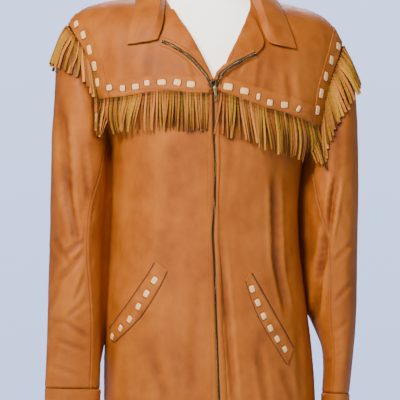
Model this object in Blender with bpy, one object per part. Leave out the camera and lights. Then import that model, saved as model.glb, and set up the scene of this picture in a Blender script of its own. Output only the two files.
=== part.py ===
"""A fringed deerskin jacket of western cut, worn open at the neck by a limbless dress form.

The jacket is drawn evenly about x = 0 with its zip at x = 0, front at -Y, and each panel is a wall
of leather on one smooth surface. The trunk's surfaces run through the sections of FRONT and BACK,
the sleeves' through the rings of SLEEVE. A last step hangs the whole a little askew, as it is worn.
Metres, +Z up, origin under the middle of the form's flat base.
"""

import math
import random

import bmesh
import bpy
import numpy as np
from mathutils import Vector
from mathutils.bvhtree import BVHTree

LEATHER = 0.0016  # thickness of the deerskin
SEAM = 0.0003  # gap between two pieces at a seam, and under what lies on a panel
BAND_WIDTH = 0.029  # laced band along the yoke's lower edge and round the armhole
BAND_THICK = 0.0012
LACE_LONG = 0.0145  # one stitch of the lace
LACE_HIGH = 0.0009
LACE_PITCH = 0.0235
FRINGE_LONG = 0.071
FRINGE_ROOT = 0.004  # height of the strip that the strands are cut from
STRAND_THICK = 0.0011
ZIP_CHAIN = 0.0046  # width of the closed chain
ZIP_THICK = 0.0024
PULL_LONG = 0.019
PULL_WIDE = 0.0052

TAN = (0.56, 0.21, 0.055)
GOLD = (0.50, 0.27, 0.06)
CREAM = (0.90, 0.72, 0.50)
BRASS = (0.42, 0.36, 0.18)
FORM_WHITE = (0.86, 0.84, 0.80)

# One row for each section of a front, from the hem to the shoulder seam. It runs from the
# centre edge to the side seam or armhole; turn is how far it turns on its way, in degrees, hollow
# above 1 pulls it in between, and drop above 0 keeps it level longer before it falls to its edge.
# Columns: name, centre, edge, turn, hollow, drop.
FRONT = (
    ("hem", (0.0036, -0.150, 0.045), (0.193, 0.0, 0.045), 90, 1.0, 0.0),
    ("low", (0.0036, -0.151, 0.150), (0.191, 0.0, 0.150), 90, 1.0, 0.0),
    ("hip", (0.0036, -0.150, 0.240), (0.186, 0.0, 0.235), 90, 1.0, 0.0),
    ("waist", (0.0036, -0.147, 0.350), (0.176, 0.0, 0.335), 90, 1.0, 0.0),
    ("ribs", (0.0036, -0.148, 0.460), (0.171, 0.0, 0.430), 90, 1.0, 0.0),
    ("chest", (0.0036, -0.151, 0.545), (0.172, 0.0, 0.500), 90, 1.0, 0.0),
    ("armpit", (0.0036, -0.152, 0.590), (0.178, 0.0, 0.540), 88, 1.0, 0.0),
    ("scye", (0.0036, -0.152, 0.620), (0.188, -0.054, 0.580), 74, 1.0, 0.0),
    ("yoke_seam", (0.0036, -0.151, 0.650), (0.204, -0.066, 0.624), 66, 1.0, 0.0),
    ("v_start", (0.0050, -0.149, 0.668), (0.207, -0.064, 0.643), 66, 1.0, 0.0),
    ("v_low", (0.0205, -0.143, 0.702), (0.212, -0.058, 0.669), 66, 1.0, 0.1),
    ("v_middle", (0.0430, -0.128, 0.745), (0.226, -0.045, 0.705), 67, 1.1, 0.2),
    ("v_high", (0.0660, -0.094, 0.786), (0.239, -0.029, 0.731), 69, 1.1, 0.35),
    ("collar_bone", (0.0765, -0.050, 0.815), (0.247, -0.013, 0.749), 70, 1.0, 0.45),
    ("shoulder", (0.0780, 0.002, 0.828), (0.2495, 0.002, 0.755), 70, 1.0, 0.5),
)
BACK = (
    ("hem", (0.0, 0.136, 0.045), (0.193, 0.0, 0.045), 90, 1.0, 0.0),
    ("low", (0.0, 0.132, 0.150), (0.191, 0.0, 0.150), 90, 1.0, 0.0),
    ("hip", (0.0, 0.127, 0.240), (0.186, 0.0, 0.235), 90, 1.0, 0.0),
    ("waist", (0.0, 0.119, 0.350), (0.176, 0.0, 0.335), 90, 1.0, 0.0),
    ("ribs", (0.0, 0.122, 0.455), (0.171, 0.0, 0.430), 90, 1.0, 0.0),
    ("chest", (0.0, 0.130, 0.530), (0.172, 0.0, 0.500), 90, 1.0, 0.0),
    ("armpit", (0.0, 0.133, 0.572), (0.178, 0.0, 0.540), 88, 1.0, 0.0),
    ("scye", (0.0, 0.135, 0.602), (0.188, 0.044, 0.580), 74, 1.0, 0.0),
    ("yoke_seam", (0.0, 0.134, 0.636), (0.204, 0.054, 0.624), 66, 1.0, 0.0),
    ("blade", (0.0, 0.127, 0.705), (0.213, 0.052, 0.669), 66, 1.0, 0.1),
    ("upper", (0.0, 0.113, 0.765), (0.229, 0.040, 0.709), 66, 1.1, 0.2),
    ("nape", (0.0, 0.100, 0.812), (0.244, 0.020, 0.743), 68, 1.5, 0.35),
)
NECK_SHARE = 0.34  # share of the back yoke's top edge that is neck, not shoulder seam
NECK_BACK = (0.088, 0.840)  # y and z of the neck at the centre back
ARMPIT_ROW = 6
YOKE_ROW = 8

# One row for each ring of a sleeve below the armhole: the height of its middle, how much higher
# its outer side is than its middle, and where its four sides are.
# Columns: name, z, tilt, outer, inner, front, back.
SLEEVE = {
    "left": (
        ("cap", 0.616, 0.094, 0.2690, 0.1800, -0.083, 0.072),
        ("biceps", 0.548, 0.068, 0.2745, 0.1790, -0.088, 0.076),
        ("above_elbow", 0.455, 0.030, 0.2800, 0.1830, -0.088, 0.070),
        ("elbow", 0.360, 0.000, 0.2845, 0.1880, -0.087, 0.056),
        ("forearm", 0.250, 0.000, 0.2905, 0.1925, -0.083, 0.036),
        ("lower", 0.165, 0.000, 0.2980, 0.1965, -0.076, 0.010),
        ("wrist", 0.111, 0.000, 0.3030, 0.2005, -0.069, -0.004),
        ("end", 0.054, 0.000, 0.3025, 0.2025, -0.066, -0.004),
    ),
    "right": (
        ("cap", 0.616, 0.094, 0.2690, 0.1800, -0.083, 0.072),
        ("biceps", 0.548, 0.068, 0.2760, 0.1790, -0.088, 0.076),
        ("above_elbow", 0.455, 0.030, 0.2785, 0.1800, -0.090, 0.072),
        ("elbow", 0.360, 0.000, 0.2755, 0.1840, -0.091, 0.066),
        ("forearm", 0.260, 0.000, 0.2700, 0.1930, -0.090, 0.056),
        ("lower", 0.185, 0.000, 0.2615, 0.2080, -0.082, 0.044),
        ("wrist", 0.111, 0.000, 0.2520, 0.2025, -0.074, 0.040),
        ("end", 0.054, 0.000, 0.2530, 0.2010, -0.074, 0.038),
    ),
}
WRIST_RING = 7
# Where the two seams of a sleeve run: share of the way down, then degrees round from its outer
# side, forwards for the front seam and backwards for the back one.
SLEEVE_SEAMS = (
    (0.3, 132, 140),
    (0.48, 108, 128),
    (0.6, 106, 120),
    (0.8, 122, 118),
    (1.0, 124, 118),
)

# The largest folds: two ends of the line each follows, its half width and its depth. x is the
# wearer's own x on the fronts and back, and degrees round from the outer side on a sleeve.
# Columns: x_top, z_top, x_low, z_low, half_width, depth.
FRONT_FOLDS = {
    "left": (
        (-0.060, 0.56, -0.082, 0.20, 0.016, 0.0022),
        (-0.105, 0.54, -0.060, 0.36, 0.014, 0.0018),
        (-0.130, 0.28, -0.150, 0.07, 0.018, 0.0028),
        (-0.028, 0.30, -0.045, 0.06, 0.013, 0.0024),
    ),
    "right": (
        (0.128, 0.60, 0.128, 0.33, 0.013, 0.0050),
        (0.128, 0.36, 0.150, 0.22, 0.014, 0.0036),
        (0.012, 0.44, 0.036, 0.10, 0.011, 0.0048),
        (0.078, 0.21, 0.070, 0.06, 0.014, 0.0030),
        (0.066, 0.56, 0.052, 0.36, 0.016, 0.0018),
    ),
}
BACK_FOLDS = (
    (-0.115, 0.58, -0.095, 0.32, 0.018, 0.0036),
    (0.112, 0.58, 0.090, 0.30, 0.018, 0.0040),
    (-0.035, 0.34, -0.055, 0.08, 0.017, 0.0030),
    (0.045, 0.32, 0.070, 0.06, 0.016, 0.0034),
)
SLEEVE_FOLDS = {
    "left": (
        (52, 0.58, 62, 0.40, 9, 0.0034),
        (120, 0.46, 84, 0.37, 10, 0.0042),
        (96, 0.33, 40, 0.28, 9, 0.0036),
        (110, 0.24, 30, 0.20, 8, 0.0026),
        (-70, 0.42, -120, 0.34, 12, 0.0042),
        (-60, 0.30, -120, 0.26, 10, 0.0034),
    ),
    "right": (
        (70, 0.54, 92, 0.30, 10, 0.0046),
        (30, 0.50, 44, 0.34, 10, 0.0024),
        (60, 0.28, 110, 0.22, 9, 0.0036),
        (20, 0.20, 80, 0.16, 9, 0.0026),
        (-60, 0.44, -110, 0.36, 12, 0.0042),
        (-56, 0.30, -118, 0.24, 10, 0.0034),
    ),
}

# How askew the jacket hangs: how much it falls for each metre towards +X, by height.
HANG = ((0.04, 0.02), (0.12, 0.02), (0.25, 0.07), (0.35, 0.105), (0.60, 0.130), (0.65, 0.120),
        (0.72, 0.085), (0.76, 0.065), (0.81, 0.030), (0.90, 0.020))
DRIFT = ((0.04, 0.009), (0.155, 0.006), (0.30, 0.001), (0.45, -0.002), (0.60, 0.0), (0.90, 0.0))

# The turned-out top of each front: where its outer edge, which carries half the zip, lies.
LAPEL = ((0.0062, 0.6645), (0.0110, 0.677), (0.0210, 0.689), (0.0380, 0.7045), (0.0565, 0.7165),
         (0.0760, 0.727), (0.0930, 0.7410), (0.0830, 0.763), (0.0790, 0.785))
# The collar from the notch to the centre back: its seam, its crest and its outer edge, and how
# far that edge stands off the yoke. Columns: seam, crest, edge, lift.
COLLAR = (
    ((0.1000, -0.122, 0.7440), (0.122, -0.119, 0.7395), (0.1505, -0.100, 0.7310), 0.0035),
    ((0.0905, -0.112, 0.7650), (0.105, -0.116, 0.7660), (0.1430, -0.088, 0.7560), 0.0040),
    ((0.0860, -0.096, 0.7870), (0.095, -0.104, 0.7960), (0.1350, -0.070, 0.7830), 0.0040),
    ((0.0790, -0.048, 0.8190), (0.084, -0.054, 0.8430), (0.1290, -0.040, 0.8090), 0.0040),
    ((0.0775, 0.004, 0.8300), (0.078, 0.004, 0.8650), (0.1250, 0.020, 0.8110), 0.0040),
    ((0.0560, 0.062, 0.8385), (0.055, 0.062, 0.8700), (0.0860, 0.092, 0.8080), 0.0040),
    ((0.0, 0.088, 0.8415), (0.0, 0.086, 0.8740), (0.0, 0.118, 0.8050), 0.0040),
)
# Slanted welt pockets: the ends of each opening, from its inner top to its outer low end.
POCKETS = {
    "left": ((-0.106, 0.3290), (-0.1800, 0.1990), 6),
    "right": ((0.0660, 0.3290), (0.1400, 0.2080), 6),
}
WELT_WIDTH = 0.021
WELT_THICK = 0.0014

# The dress form's sections, from its flat base to its flat neck cap.
# Columns: z, half_width, front, back.
FORM = (
    (0.000, 0.158, -0.112, 0.104),
    (0.020, 0.166, -0.120, 0.110),
    (0.120, 0.164, -0.120, 0.108),
    (0.260, 0.148, -0.110, 0.098),
    (0.380, 0.140, -0.106, 0.094),
    (0.500, 0.150, -0.120, 0.104),
    (0.600, 0.162, -0.134, 0.112),
    (0.680, 0.176, -0.128, 0.110),
    (0.740, 0.196, -0.106, 0.094),
    (0.786, 0.172, -0.080, 0.076),
    (0.812, 0.112, -0.060, 0.064),
    (0.828, 0.070, -0.056, 0.060),
    (0.850, 0.058, -0.055, 0.056),
    (0.895, 0.056, -0.056, 0.052),
    (0.908, 0.050, -0.050, 0.046),
)


def clear_scene():
    for thing in list(bpy.data.objects):
        bpy.data.objects.remove(thing, do_unlink=True)


def material(name, colour, roughness, metallic=0.0):
    made = bpy.data.materials.get(name)
    if made:
        return made
    made = bpy.data.materials.new(name)
    made.use_nodes = True
    shader = made.node_tree.nodes["Principled BSDF"]
    shader.inputs["Base Color"].default_value = (*colour, 1.0)
    shader.inputs["Roughness"].default_value = roughness
    shader.inputs["Metallic"].default_value = metallic
    return made


def leather():
    return material("deerskin", TAN, 0.5)


def between(table, at):
    """The second column of a table of (at, value) rows, read smoothly at a value of the first."""
    knots = [row[0] for row in table]
    return float(np.interp(at, knots, [row[1] for row in table]))


def spline(points, knots, at):
    """A smooth curve through points, each reached at its own knot."""
    k = int(np.clip(np.searchsorted(knots, at) - 1, 0, len(knots) - 2))
    span = knots[k + 1] - knots[k]
    u = (at - knots[k]) / span

    def slope(i):
        if i == 0:
            return (points[1] - points[0]) / (knots[1] - knots[0])
        if i == len(knots) - 1:
            return (points[-1] - points[-2]) / (knots[-1] - knots[-2])
        return (points[i + 1] - points[i - 1]) / (knots[i + 1] - knots[i - 1])

    return ((2 * u**3 - 3 * u**2 + 1) * points[k] + (u**3 - 2 * u**2 + u) * span * slope(k)
            + (3 * u**2 - 2 * u**3) * points[k + 1] + (u**3 - u**2) * span * slope(k + 1))


def hang(point):
    """Moves a point of the even jacket to where the worn one holds it."""
    x, y, z = point
    return Vector((x + between(DRIFT, z), y, z - x * between(HANG, z)))


def row_point(row, s):
    """A point of one section, from its centre at s = 0 to its edge at s = 1."""
    _, centre, edge, turn, hollow, drop = row
    a = math.radians(turn)
    across = math.sin(a * s) / math.sin(a)
    deep = max(0.0, (math.cos(a * s) - math.cos(a)) / (1 - math.cos(a))) ** hollow
    fall = (1 - drop) * s + drop * s**5
    return np.array((centre[0] + (edge[0] - centre[0]) * across,
                     edge[1] + (centre[1] - edge[1]) * deep,
                     centre[2] + (edge[2] - centre[2]) * fall))


def top_edge(s):
    """The back yoke's top edge: the neck out to NECK_SHARE, then the shoulder seam."""
    tip = FRONT[-1]
    if s >= NECK_SHARE:
        return row_point(tip, (s - NECK_SHARE) / (1 - NECK_SHARE))
    a = math.radians(90 * s / NECK_SHARE)
    side = np.array(tip[1])
    y, z = NECK_BACK
    return np.array((side[0] * math.sin(a), side[1] + (y - side[1]) * math.cos(a),
                     z + (side[2] - z) * (s / NECK_SHARE) ** 2))


def back_row(row, s):
    return top_edge(s) if row is None else row_point(row, s)


FRONT_ROWS = list(FRONT)
BACK_ROWS = list(BACK) + [None]


def levels(rows, reader):
    """How far along its surface each section lies, measured up the middle of the piece."""
    middle = [reader(row, 0.5) for row in rows]
    steps = [np.linalg.norm(b - a) for a, b in zip(middle, middle[1:])]
    return np.concatenate(([0.0], np.cumsum(steps)))


FRONT_LEVELS = levels(FRONT_ROWS, row_point)
BACK_LEVELS = levels(BACK_ROWS, back_row)


def fold_depth(folds, x, z):
    """How deep the folds of a table press the leather in at a place."""
    depth = 0.0
    for x_top, z_top, x_low, z_low, half_width, deep in folds:
        u = (z_top - z) / (z_top - z_low)
        if -0.15 < u < 1.15:
            line = x_top + (x_low - x_top) * u
            ends = math.sin(math.pi * (u + 0.15) / 1.3)
            depth += deep * ends * math.exp(-(((x - line) / half_width) ** 2))
    return depth


def front_point(side, s, t):
    mirror = -1 if side == "left" else 1
    p = spline([row_point(row, s) for row in FRONT_ROWS], FRONT_LEVELS, t)
    x = p[0] * mirror
    inward = np.array((-x, -p[1], 0.0)) / math.hypot(x, p[1])
    fade = min(1.0, (1 - s) * 6) * min(1.0, s * 12)
    return np.array((x, p[1], p[2])) + inward * fold_depth(FRONT_FOLDS[side], x, p[2]) * fade


def back_point(s, t):
    mirror = -1 if s < 0 else 1
    p = spline([back_row(row, abs(s)) for row in BACK_ROWS], BACK_LEVELS, t)
    x = p[0] * mirror
    inward = np.array((-x, -p[1], 0.0)) / max(math.hypot(x, p[1]), 0.01)
    fade = min(1.0, (1 - abs(s)) * 6)
    return np.array((x, p[1], p[2])) + inward * fold_depth(BACK_FOLDS, x, p[2]) * fade


def armhole_point(side, degrees):
    """A point of the armhole's edge: 0 at the shoulder, 180 at the armpit, forwards above 0."""
    share = abs(degrees) / 180
    mirror = -1 if side == "left" else 1
    if degrees >= 0:
        t = FRONT_LEVELS[-1] + (FRONT_LEVELS[ARMPIT_ROW] - FRONT_LEVELS[-1]) * share
        return front_point(side, 1.0, t)
    t = BACK_LEVELS[-1] + (BACK_LEVELS[ARMPIT_ROW] - BACK_LEVELS[-1]) * share
    return back_point(float(mirror), t)


def ring_point(side, ring, degrees):
    _, z, tilt, outer, inner, front, back = ring
    mirror = -1 if side == "left" else 1
    a = math.radians(degrees)
    x = (outer + inner) / 2 + (outer - inner) / 2 * math.cos(a)
    y = (front + back) / 2 - (back - front) / 2 * math.sin(a)
    return np.array((x * mirror, y, z + tilt * math.cos(a)))


def sleeve_levels(side):
    middle = [armhole_point(side, 90) * 0.5 + armhole_point(side, -90) * 0.5]
    middle += [0.5 * (ring_point(side, r, 90) + ring_point(side, r, -90)) for r in SLEEVE[side]]
    steps = [np.linalg.norm(b - a) for a, b in zip(middle, middle[1:])]
    return np.concatenate(([0.0], np.cumsum(steps)))


SLEEVE_LEVELS = {side: sleeve_levels(side) for side in SLEEVE}


def sleeve_point(side, degrees, w):
    """A point of a sleeve: degrees round from its outer side, w down from the armhole."""
    degrees = (degrees + 180) % 360 - 180
    rings = [armhole_point(side, degrees)]
    rings += [ring_point(side, ring, degrees) for ring in SLEEVE[side]]
    p = spline(rings, SLEEVE_LEVELS[side], w)
    ring = SLEEVE[side][min(int(np.searchsorted(SLEEVE_LEVELS[side], w)), len(SLEEVE[side]) - 1)]
    mirror = -1 if side == "left" else 1
    centre = np.array(((ring[3] + ring[4]) / 2 * mirror, (ring[5] + ring[6]) / 2, p[2]))
    inward = centre - p
    length = np.linalg.norm(inward)
    start = min(1.0, w / 0.06)
    wrist = SLEEVE_LEVELS[side][WRIST_RING]
    end = min(1.0, max(0.0, (wrist - w) / 0.03))
    depth = fold_depth(SLEEVE_FOLDS[side], degrees, p[2]) * start * end
    return p + inward / max(length, 0.001) * depth


def normal_of(surface, a, b, outward, step=0.004):
    """The unit normal of a surface function at its two parameters, on the outward side."""
    da = (surface(a + 0.01, b) - surface(a - 0.01, b))
    db = (surface(a, b + step) - surface(a, b - step))
    n = np.cross(da, db)
    n = n / max(np.linalg.norm(n), 1e-9)
    return n if np.dot(n, outward) > 0 else -n


def trunk_outward(p):
    """A direction that leaves the trunk at a point, which turns upwards over the shoulders."""
    rise = max(0.0, (p[2] - 0.62) / 0.2)
    return np.array((p[0] * 0.8, p[1] * 2.0, rise * 0.25))


def clip_front(side, s, t):
    return front_point(side, min(max(s, 0.0), 1.0), min(max(t, 0.0), FRONT_LEVELS[-1]))


def clip_back(s, t):
    return back_point(min(max(s, -1.0), 1.0), min(max(t, 0.0), BACK_LEVELS[-1]))


def front_normal(side, s, t):
    p = front_point(side, s, t)
    if t >= FRONT_LEVELS[-1] - 0.002:
        return seam_normal(p)
    return normal_of(lambda a, b: clip_front(side, a, b), s, t, trunk_outward(p))


def back_normal(s, t):
    p = back_point(s, t)
    if t >= BACK_LEVELS[-1] - 0.002 and abs(s) >= NECK_SHARE:
        return seam_normal(p)
    return normal_of(clip_back, s, t, trunk_outward(p))


def seam_normal(p):
    """Straight out of the shoulder seam, which both yokes share."""
    slope = 0.3 + max(0.0, abs(p[0]) - 0.19) * 8
    n = np.array((math.copysign(slope, p[0]), 0.0, 1.0))
    return n / np.linalg.norm(n)


def sleeve_normal(side, degrees, w):
    ring = SLEEVE[side][min(int(np.searchsorted(SLEEVE_LEVELS[side], w)), len(SLEEVE[side]) - 1)]
    mirror = -1 if side == "left" else 1
    p = sleeve_point(side, degrees, w)
    centre = np.array(((ring[3] + ring[4]) / 2 * mirror, (ring[5] + ring[6]) / 2, p[2]))
    last = SLEEVE_LEVELS[side][-1]

    def surface(a, b):
        return sleeve_point(side, a * 300, min(max(b, 0.0), last))

    return normal_of(surface, degrees / 300, w, p - centre)


def armhole_normal(side, degrees):
    """The direction that the cloth's thickness runs in at the armhole, shared by both pieces."""
    mirror = -1 if side == "left" else 1
    share = abs(degrees) / 180
    if degrees >= 0:
        t = FRONT_LEVELS[-1] + (FRONT_LEVELS[ARMPIT_ROW] - FRONT_LEVELS[-1]) * share
        trunk = front_normal(side, 1.0, t)
    else:
        t = BACK_LEVELS[-1] + (BACK_LEVELS[ARMPIT_ROW] - BACK_LEVELS[-1]) * share
        trunk = back_normal(float(mirror), t)
    both = trunk + sleeve_normal(side, degrees, 0.004) + np.array((0.0, 0.0, -0.25 * share))
    if share < 0.01 or share > 0.96:
        both[1] = 0.0
    if share > 0.96:
        both = np.array((0.0, 0.0, -1.0))
    return both / np.linalg.norm(both)


RIM_ORDER = Vector((0.37, 0.11, 1.0))  # points of an edge are told apart along this direction


def wall(name, outer, inner, look, wrap=False, split=True):
    """A closed wall between two equal grids of points, its outer face on the first.

    With split, each cell is cut along the same diagonal in both skins, so they stay parallel.
    """
    rows, columns = len(outer), len(outer[0])
    bm = bmesh.new()
    skins = []
    for grid in (outer, inner):
        skins.append([[bm.verts.new(p) for p in row] for row in grid])
    last = columns if wrap else columns - 1
    for skin, flip in zip(skins, (False, True)):
        for i in range(rows - 1):
            for j in range(last):
                k = (j + 1) % columns
                quad = [skin[i][j], skin[i][k], skin[i + 1][k], skin[i + 1][j]]
                parts = [quad]
                if split:
                    first = (outer[i][j] - outer[i + 1][k]).length
                    if first <= (outer[i][k] - outer[i + 1][j]).length:
                        parts = [quad[:3], [quad[0], quad[2], quad[3]]]
                    else:
                        parts = [quad[:2] + quad[3:], quad[1:]]
                for part in parts:
                    bm.faces.new(part[::-1] if flip else part)

    def rim(i, j, m, n):
        """One cell of the edge, cut from its lower outer point, so two seam edges stay parallel."""
        a, b = sorted((skins[0][i][j], skins[0][m][n]), key=lambda v: v.co.dot(RIM_ORDER))
        under = {skins[0][i][j]: skins[1][i][j], skins[0][m][n]: skins[1][m][n]}
        if split:
            bm.faces.new((a, b, under[b]))
            bm.faces.new((a, under[b], under[a]))
        else:
            bm.faces.new((a, b, under[b], under[a]))

    for j in range(last):
        rim(0, j, 0, (j + 1) % columns)
        rim(rows - 1, j, rows - 1, (j + 1) % columns)
    if not wrap:
        for i in range(rows - 1):
            rim(i, 0, i + 1, 0)
            rim(i, columns - 1, i + 1, columns - 1)
    made = finish(name, bm, look)
    made["skin_faces"] = (rows - 1) * last * (2 if split else 1)
    return made


def finish(name, bm, look):
    bmesh.ops.recalc_face_normals(bm, faces=bm.faces)
    if bm.calc_volume(signed=True) < 0:
        bmesh.ops.reverse_faces(bm, faces=bm.faces)
    mesh = bpy.data.meshes.new(name)
    bm.to_mesh(mesh)
    bm.free()
    made = bpy.data.objects.new(name, mesh)
    bpy.context.scene.collection.objects.link(made)
    mesh.materials.append(look)
    mesh.shade_smooth()
    mesh.set_sharp_from_angle(angle=math.radians(40))
    return made


def grid_wall(name, a_values, b_values, point, normal, look):
    """A panel on a surface function, with rows along b and columns along a."""
    outer, inner = [], []
    for b in b_values:
        top, under = [], []
        for a in a_values:
            p, n = point(a, b), normal(a, b)
            top.append(hang(p))
            under.append(hang(p - n * LEATHER))
        outer.append(top)
        inner.append(under)
    return wall(name, outer, inner, look)


def tree_of(names, skin_only=True):
    """One search tree over some pieces: their outer skins alone, or all of their faces."""
    points, faces = [], []
    for name in names:
        made = bpy.data.objects[name]
        start = len(points)
        points += [v.co.copy() for v in made.data.vertices]
        count = made["skin_faces"] if skin_only else len(made.data.polygons)
        faces += [[start + i for i in p.vertices] for p in list(made.data.polygons)[:count]]
    return BVHTree.FromPolygons(points, faces)


def ease_off(outer, inner, away, tree, clear=SEAM, wrap=False):
    """Moves the points of a wall's two grids out, where it would touch the pieces of a tree.

    away is the grid of directions that the points move in, and clear the gap that is left.
    """
    rows, columns = len(outer), len(outer[0])
    last = columns if wrap else columns - 1
    quads = [(i * columns + j, i * columns + (j + 1) % columns,
              (i + 1) * columns + (j + 1) % columns, (i + 1) * columns + j)
             for i in range(rows - 1) for j in range(last)]
    flat_away = [v for row in away for v in row]
    for _ in range(40):
        moved = set()
        for grid in (inner, outer):
            points = [p - a * clear for p, a in zip([v for row in grid for v in row], flat_away)]
            hits = BVHTree.FromPolygons(points, quads).overlap(tree)
            moved |= {k for face, _ in hits for k in quads[face]}
        if not moved:
            break
        for k in moved:
            i, j = divmod(k, columns)
            outer[i][j] = outer[i][j] + flat_away[k] * 0.0003
            inner[i][j] = inner[i][j] + flat_away[k] * 0.0003


def trimmed(low, high, count, trim=SEAM / 2):
    """Evenly spaced values whose two ends are drawn in by half a seam."""
    values = list(np.linspace(low, high, count + 1))
    values[0] += trim
    values[-1] -= trim
    return values


S_TRIM = SEAM / 2 / 0.22  # half a seam, as a share of a section about 220 mm long
ARMPIT_CELLS, YOKE_CELLS = 3, 7  # rows of cells beside the armhole, below and in the yokes


def panel_rows(rows_levels):
    """The levels of a panel's rows beside the armhole: below the yoke seam, and in the yoke."""
    armpit, seam, top = rows_levels[ARMPIT_ROW], rows_levels[YOKE_ROW], rows_levels[-1]
    return trimmed(armpit, seam, ARMPIT_CELLS)[1:], trimmed(seam, top, YOKE_CELLS)


def armhole_degrees(row_levels):
    """The same rows as degrees round the armhole, from the armpit up to the shoulder."""
    armpit, top = row_levels[ARMPIT_ROW], row_levels[-1]
    below, above = panel_rows(row_levels)
    marks = [armpit] + below[:-1] + [row_levels[YOKE_ROW]] + above[1:-1] + [top]
    return [180 * (top - t) / (top - armpit) for t in marks]


def front_edge_normal(side, s, t):
    """The panel's own normal, but the one shared at the side seam and at the armhole."""
    mirror = -1 if side == "left" else 1
    top, low = FRONT_LEVELS[-1], FRONT_LEVELS[ARMPIT_ROW]
    if s > 0.99 and t >= low - 0.001:
        return armhole_normal(side, 180 * min(max((top - t) / (top - low), 0.0), 1.0))
    if s > 0.99:
        return np.array((mirror, 0.0, 0.0))
    return front_normal(side, s, t)


def back_edge_normal(s, t):
    top, low = BACK_LEVELS[-1], BACK_LEVELS[ARMPIT_ROW]
    if abs(s) > 0.99 and t >= low - 0.001:
        side = "left" if s < 0 else "right"
        return armhole_normal(side, -180 * min(max((top - t) / (top - low), 0.0001), 1.0))
    if abs(s) > 0.99:
        return np.array((math.copysign(1.0, s), 0.0, 0.0))
    return back_normal(s, t)


def make_front(side):
    across = trimmed(0.0, 1.0, 10, S_TRIM)
    up = list(np.linspace(0.0, FRONT_LEVELS[ARMPIT_ROW], 13)) + panel_rows(FRONT_LEVELS)[0]
    grid_wall("front_" + side, across, up, lambda s, t: front_point(side, s, t),
              lambda s, t: front_edge_normal(side, s, t), leather())


def make_yoke_front(side):
    across = trimmed(0.0, 1.0, 9, S_TRIM)
    grid_wall("yoke_front_" + side, across, panel_rows(FRONT_LEVELS)[1],
              lambda s, t: front_point(side, s, t),
              lambda s, t: front_edge_normal(side, s, t), leather())


def make_back():
    across = trimmed(-1.0, 1.0, 14, S_TRIM)
    up = list(np.linspace(0.0, BACK_LEVELS[ARMPIT_ROW], 13)) + panel_rows(BACK_LEVELS)[0]
    grid_wall("back", across, up, back_point, back_edge_normal, leather())


def make_yoke_back():
    neck = list(np.linspace(-NECK_SHARE, NECK_SHARE, 7))
    left = list(np.linspace(-1.0 + S_TRIM, -NECK_SHARE, 7))[:-1]
    across = left + neck + [-s for s in reversed(left)]
    grid_wall("yoke_back", across, panel_rows(BACK_LEVELS)[1], back_point, back_edge_normal,
              leather())


FRONT_DEGREES = armhole_degrees(FRONT_LEVELS)
BACK_DEGREES = armhole_degrees(BACK_LEVELS)


def sleeve_columns(side, w):
    """The degrees of a sleeve's columns at one level, and the places of its two seams.

    At the armhole they meet the rows of the panels, and further down they follow the seams.
    """
    share = w / SLEEVE_LEVELS[side][WRIST_RING]
    columns = []
    for degrees, column, sign in ((FRONT_DEGREES, 1, 1), (BACK_DEGREES, 2, -1)):
        seam_top = degrees[SEAM_COLUMN]
        lower = [(row[0], row[column]) for row in SLEEVE_SEAMS]
        seam_now = between([(0.0, seam_top)] + lower, share)
        part = [between(((0, 0), (seam_top, seam_now), (180, 180)), d) * sign for d in degrees]
        columns.append(part)
    front, back = columns
    return list(reversed(front)), list(reversed(back))


SEAM_COLUMN = 2  # which column from the armpit carries each of a sleeve's seams


def sleeve_edge_normal(side, degrees, w):
    if w < 0.001:
        return armhole_normal(side, degrees)
    return sleeve_normal(side, degrees, w)


def make_sleeve(side):
    """The top and under sleeve, parted along the front and back seams."""
    down = [SEAM / 2] + list(np.linspace(0.0, SLEEVE_LEVELS[side][WRIST_RING], 16))[1:]
    down[-1] -= SEAM / 2
    trim = math.degrees(SEAM / 2 / 0.055)
    grids = {"top": ([], []), "under": ([], [])}
    for w in down:
        front, back = sleeve_columns(side, w)
        cut = len(front) - SEAM_COLUMN
        top = list(reversed(back[:cut]))[:-1] + front[:cut]
        under = front[cut - 1:] + [360 + d for d in reversed(back[cut - 1:])][1:]
        for part, columns in (("top", top), ("under", under)):
            trims = [trim] + [0.0] * (len(columns) - 2) + [-trim]
            row, inside = [], []
            for degrees, moved in zip(columns, trims):
                turned = degrees if degrees <= 180 else degrees - 360
                p = sleeve_point(side, turned + moved, w)
                n = sleeve_edge_normal(side, turned, w)
                row.append(hang(p))
                inside.append(hang(p - n * LEATHER))
            grids[part][0].append(row)
            grids[part][1].append(inside)
    for part, (outer, inner) in grids.items():
        wall("sleeve_%s_%s" % (part, side), outer, inner, leather())


def make_cuff(side):
    """The turned cuff, one band round the wrist, a little thicker than the sleeve."""
    start, end = SLEEVE_LEVELS[side][WRIST_RING] + SEAM / 2, SLEEVE_LEVELS[side][-1]
    outer, inner = [], []
    for w in np.linspace(start, end, 3):
        row, under = [], []
        for j in range(20):
            degrees = j * 18 - 180
            p, n = sleeve_point(side, degrees, w), sleeve_normal(side, degrees, w)
            row.append(hang(p + n * 0.0005))
            under.append(hang(p - n * LEATHER))
        outer.append(row)
        inner.append(under)
    wall("cuff_" + side, outer, inner, leather(), wrap=True)


def band_cells(length):
    """Where a band's cells begin and end along it, and which of them carry a lace stitch."""
    count = max(1, int((length - 0.006) // LACE_PITCH))
    pitch = length / count
    cells, laced = [0.0], []
    for i in range(count):
        middle = (i + 0.5) * pitch
        cells += [middle - LACE_LONG / 2, middle + LACE_LONG / 2]
        laced.append(2 * i + 1)
    return cells + [length], laced


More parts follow.
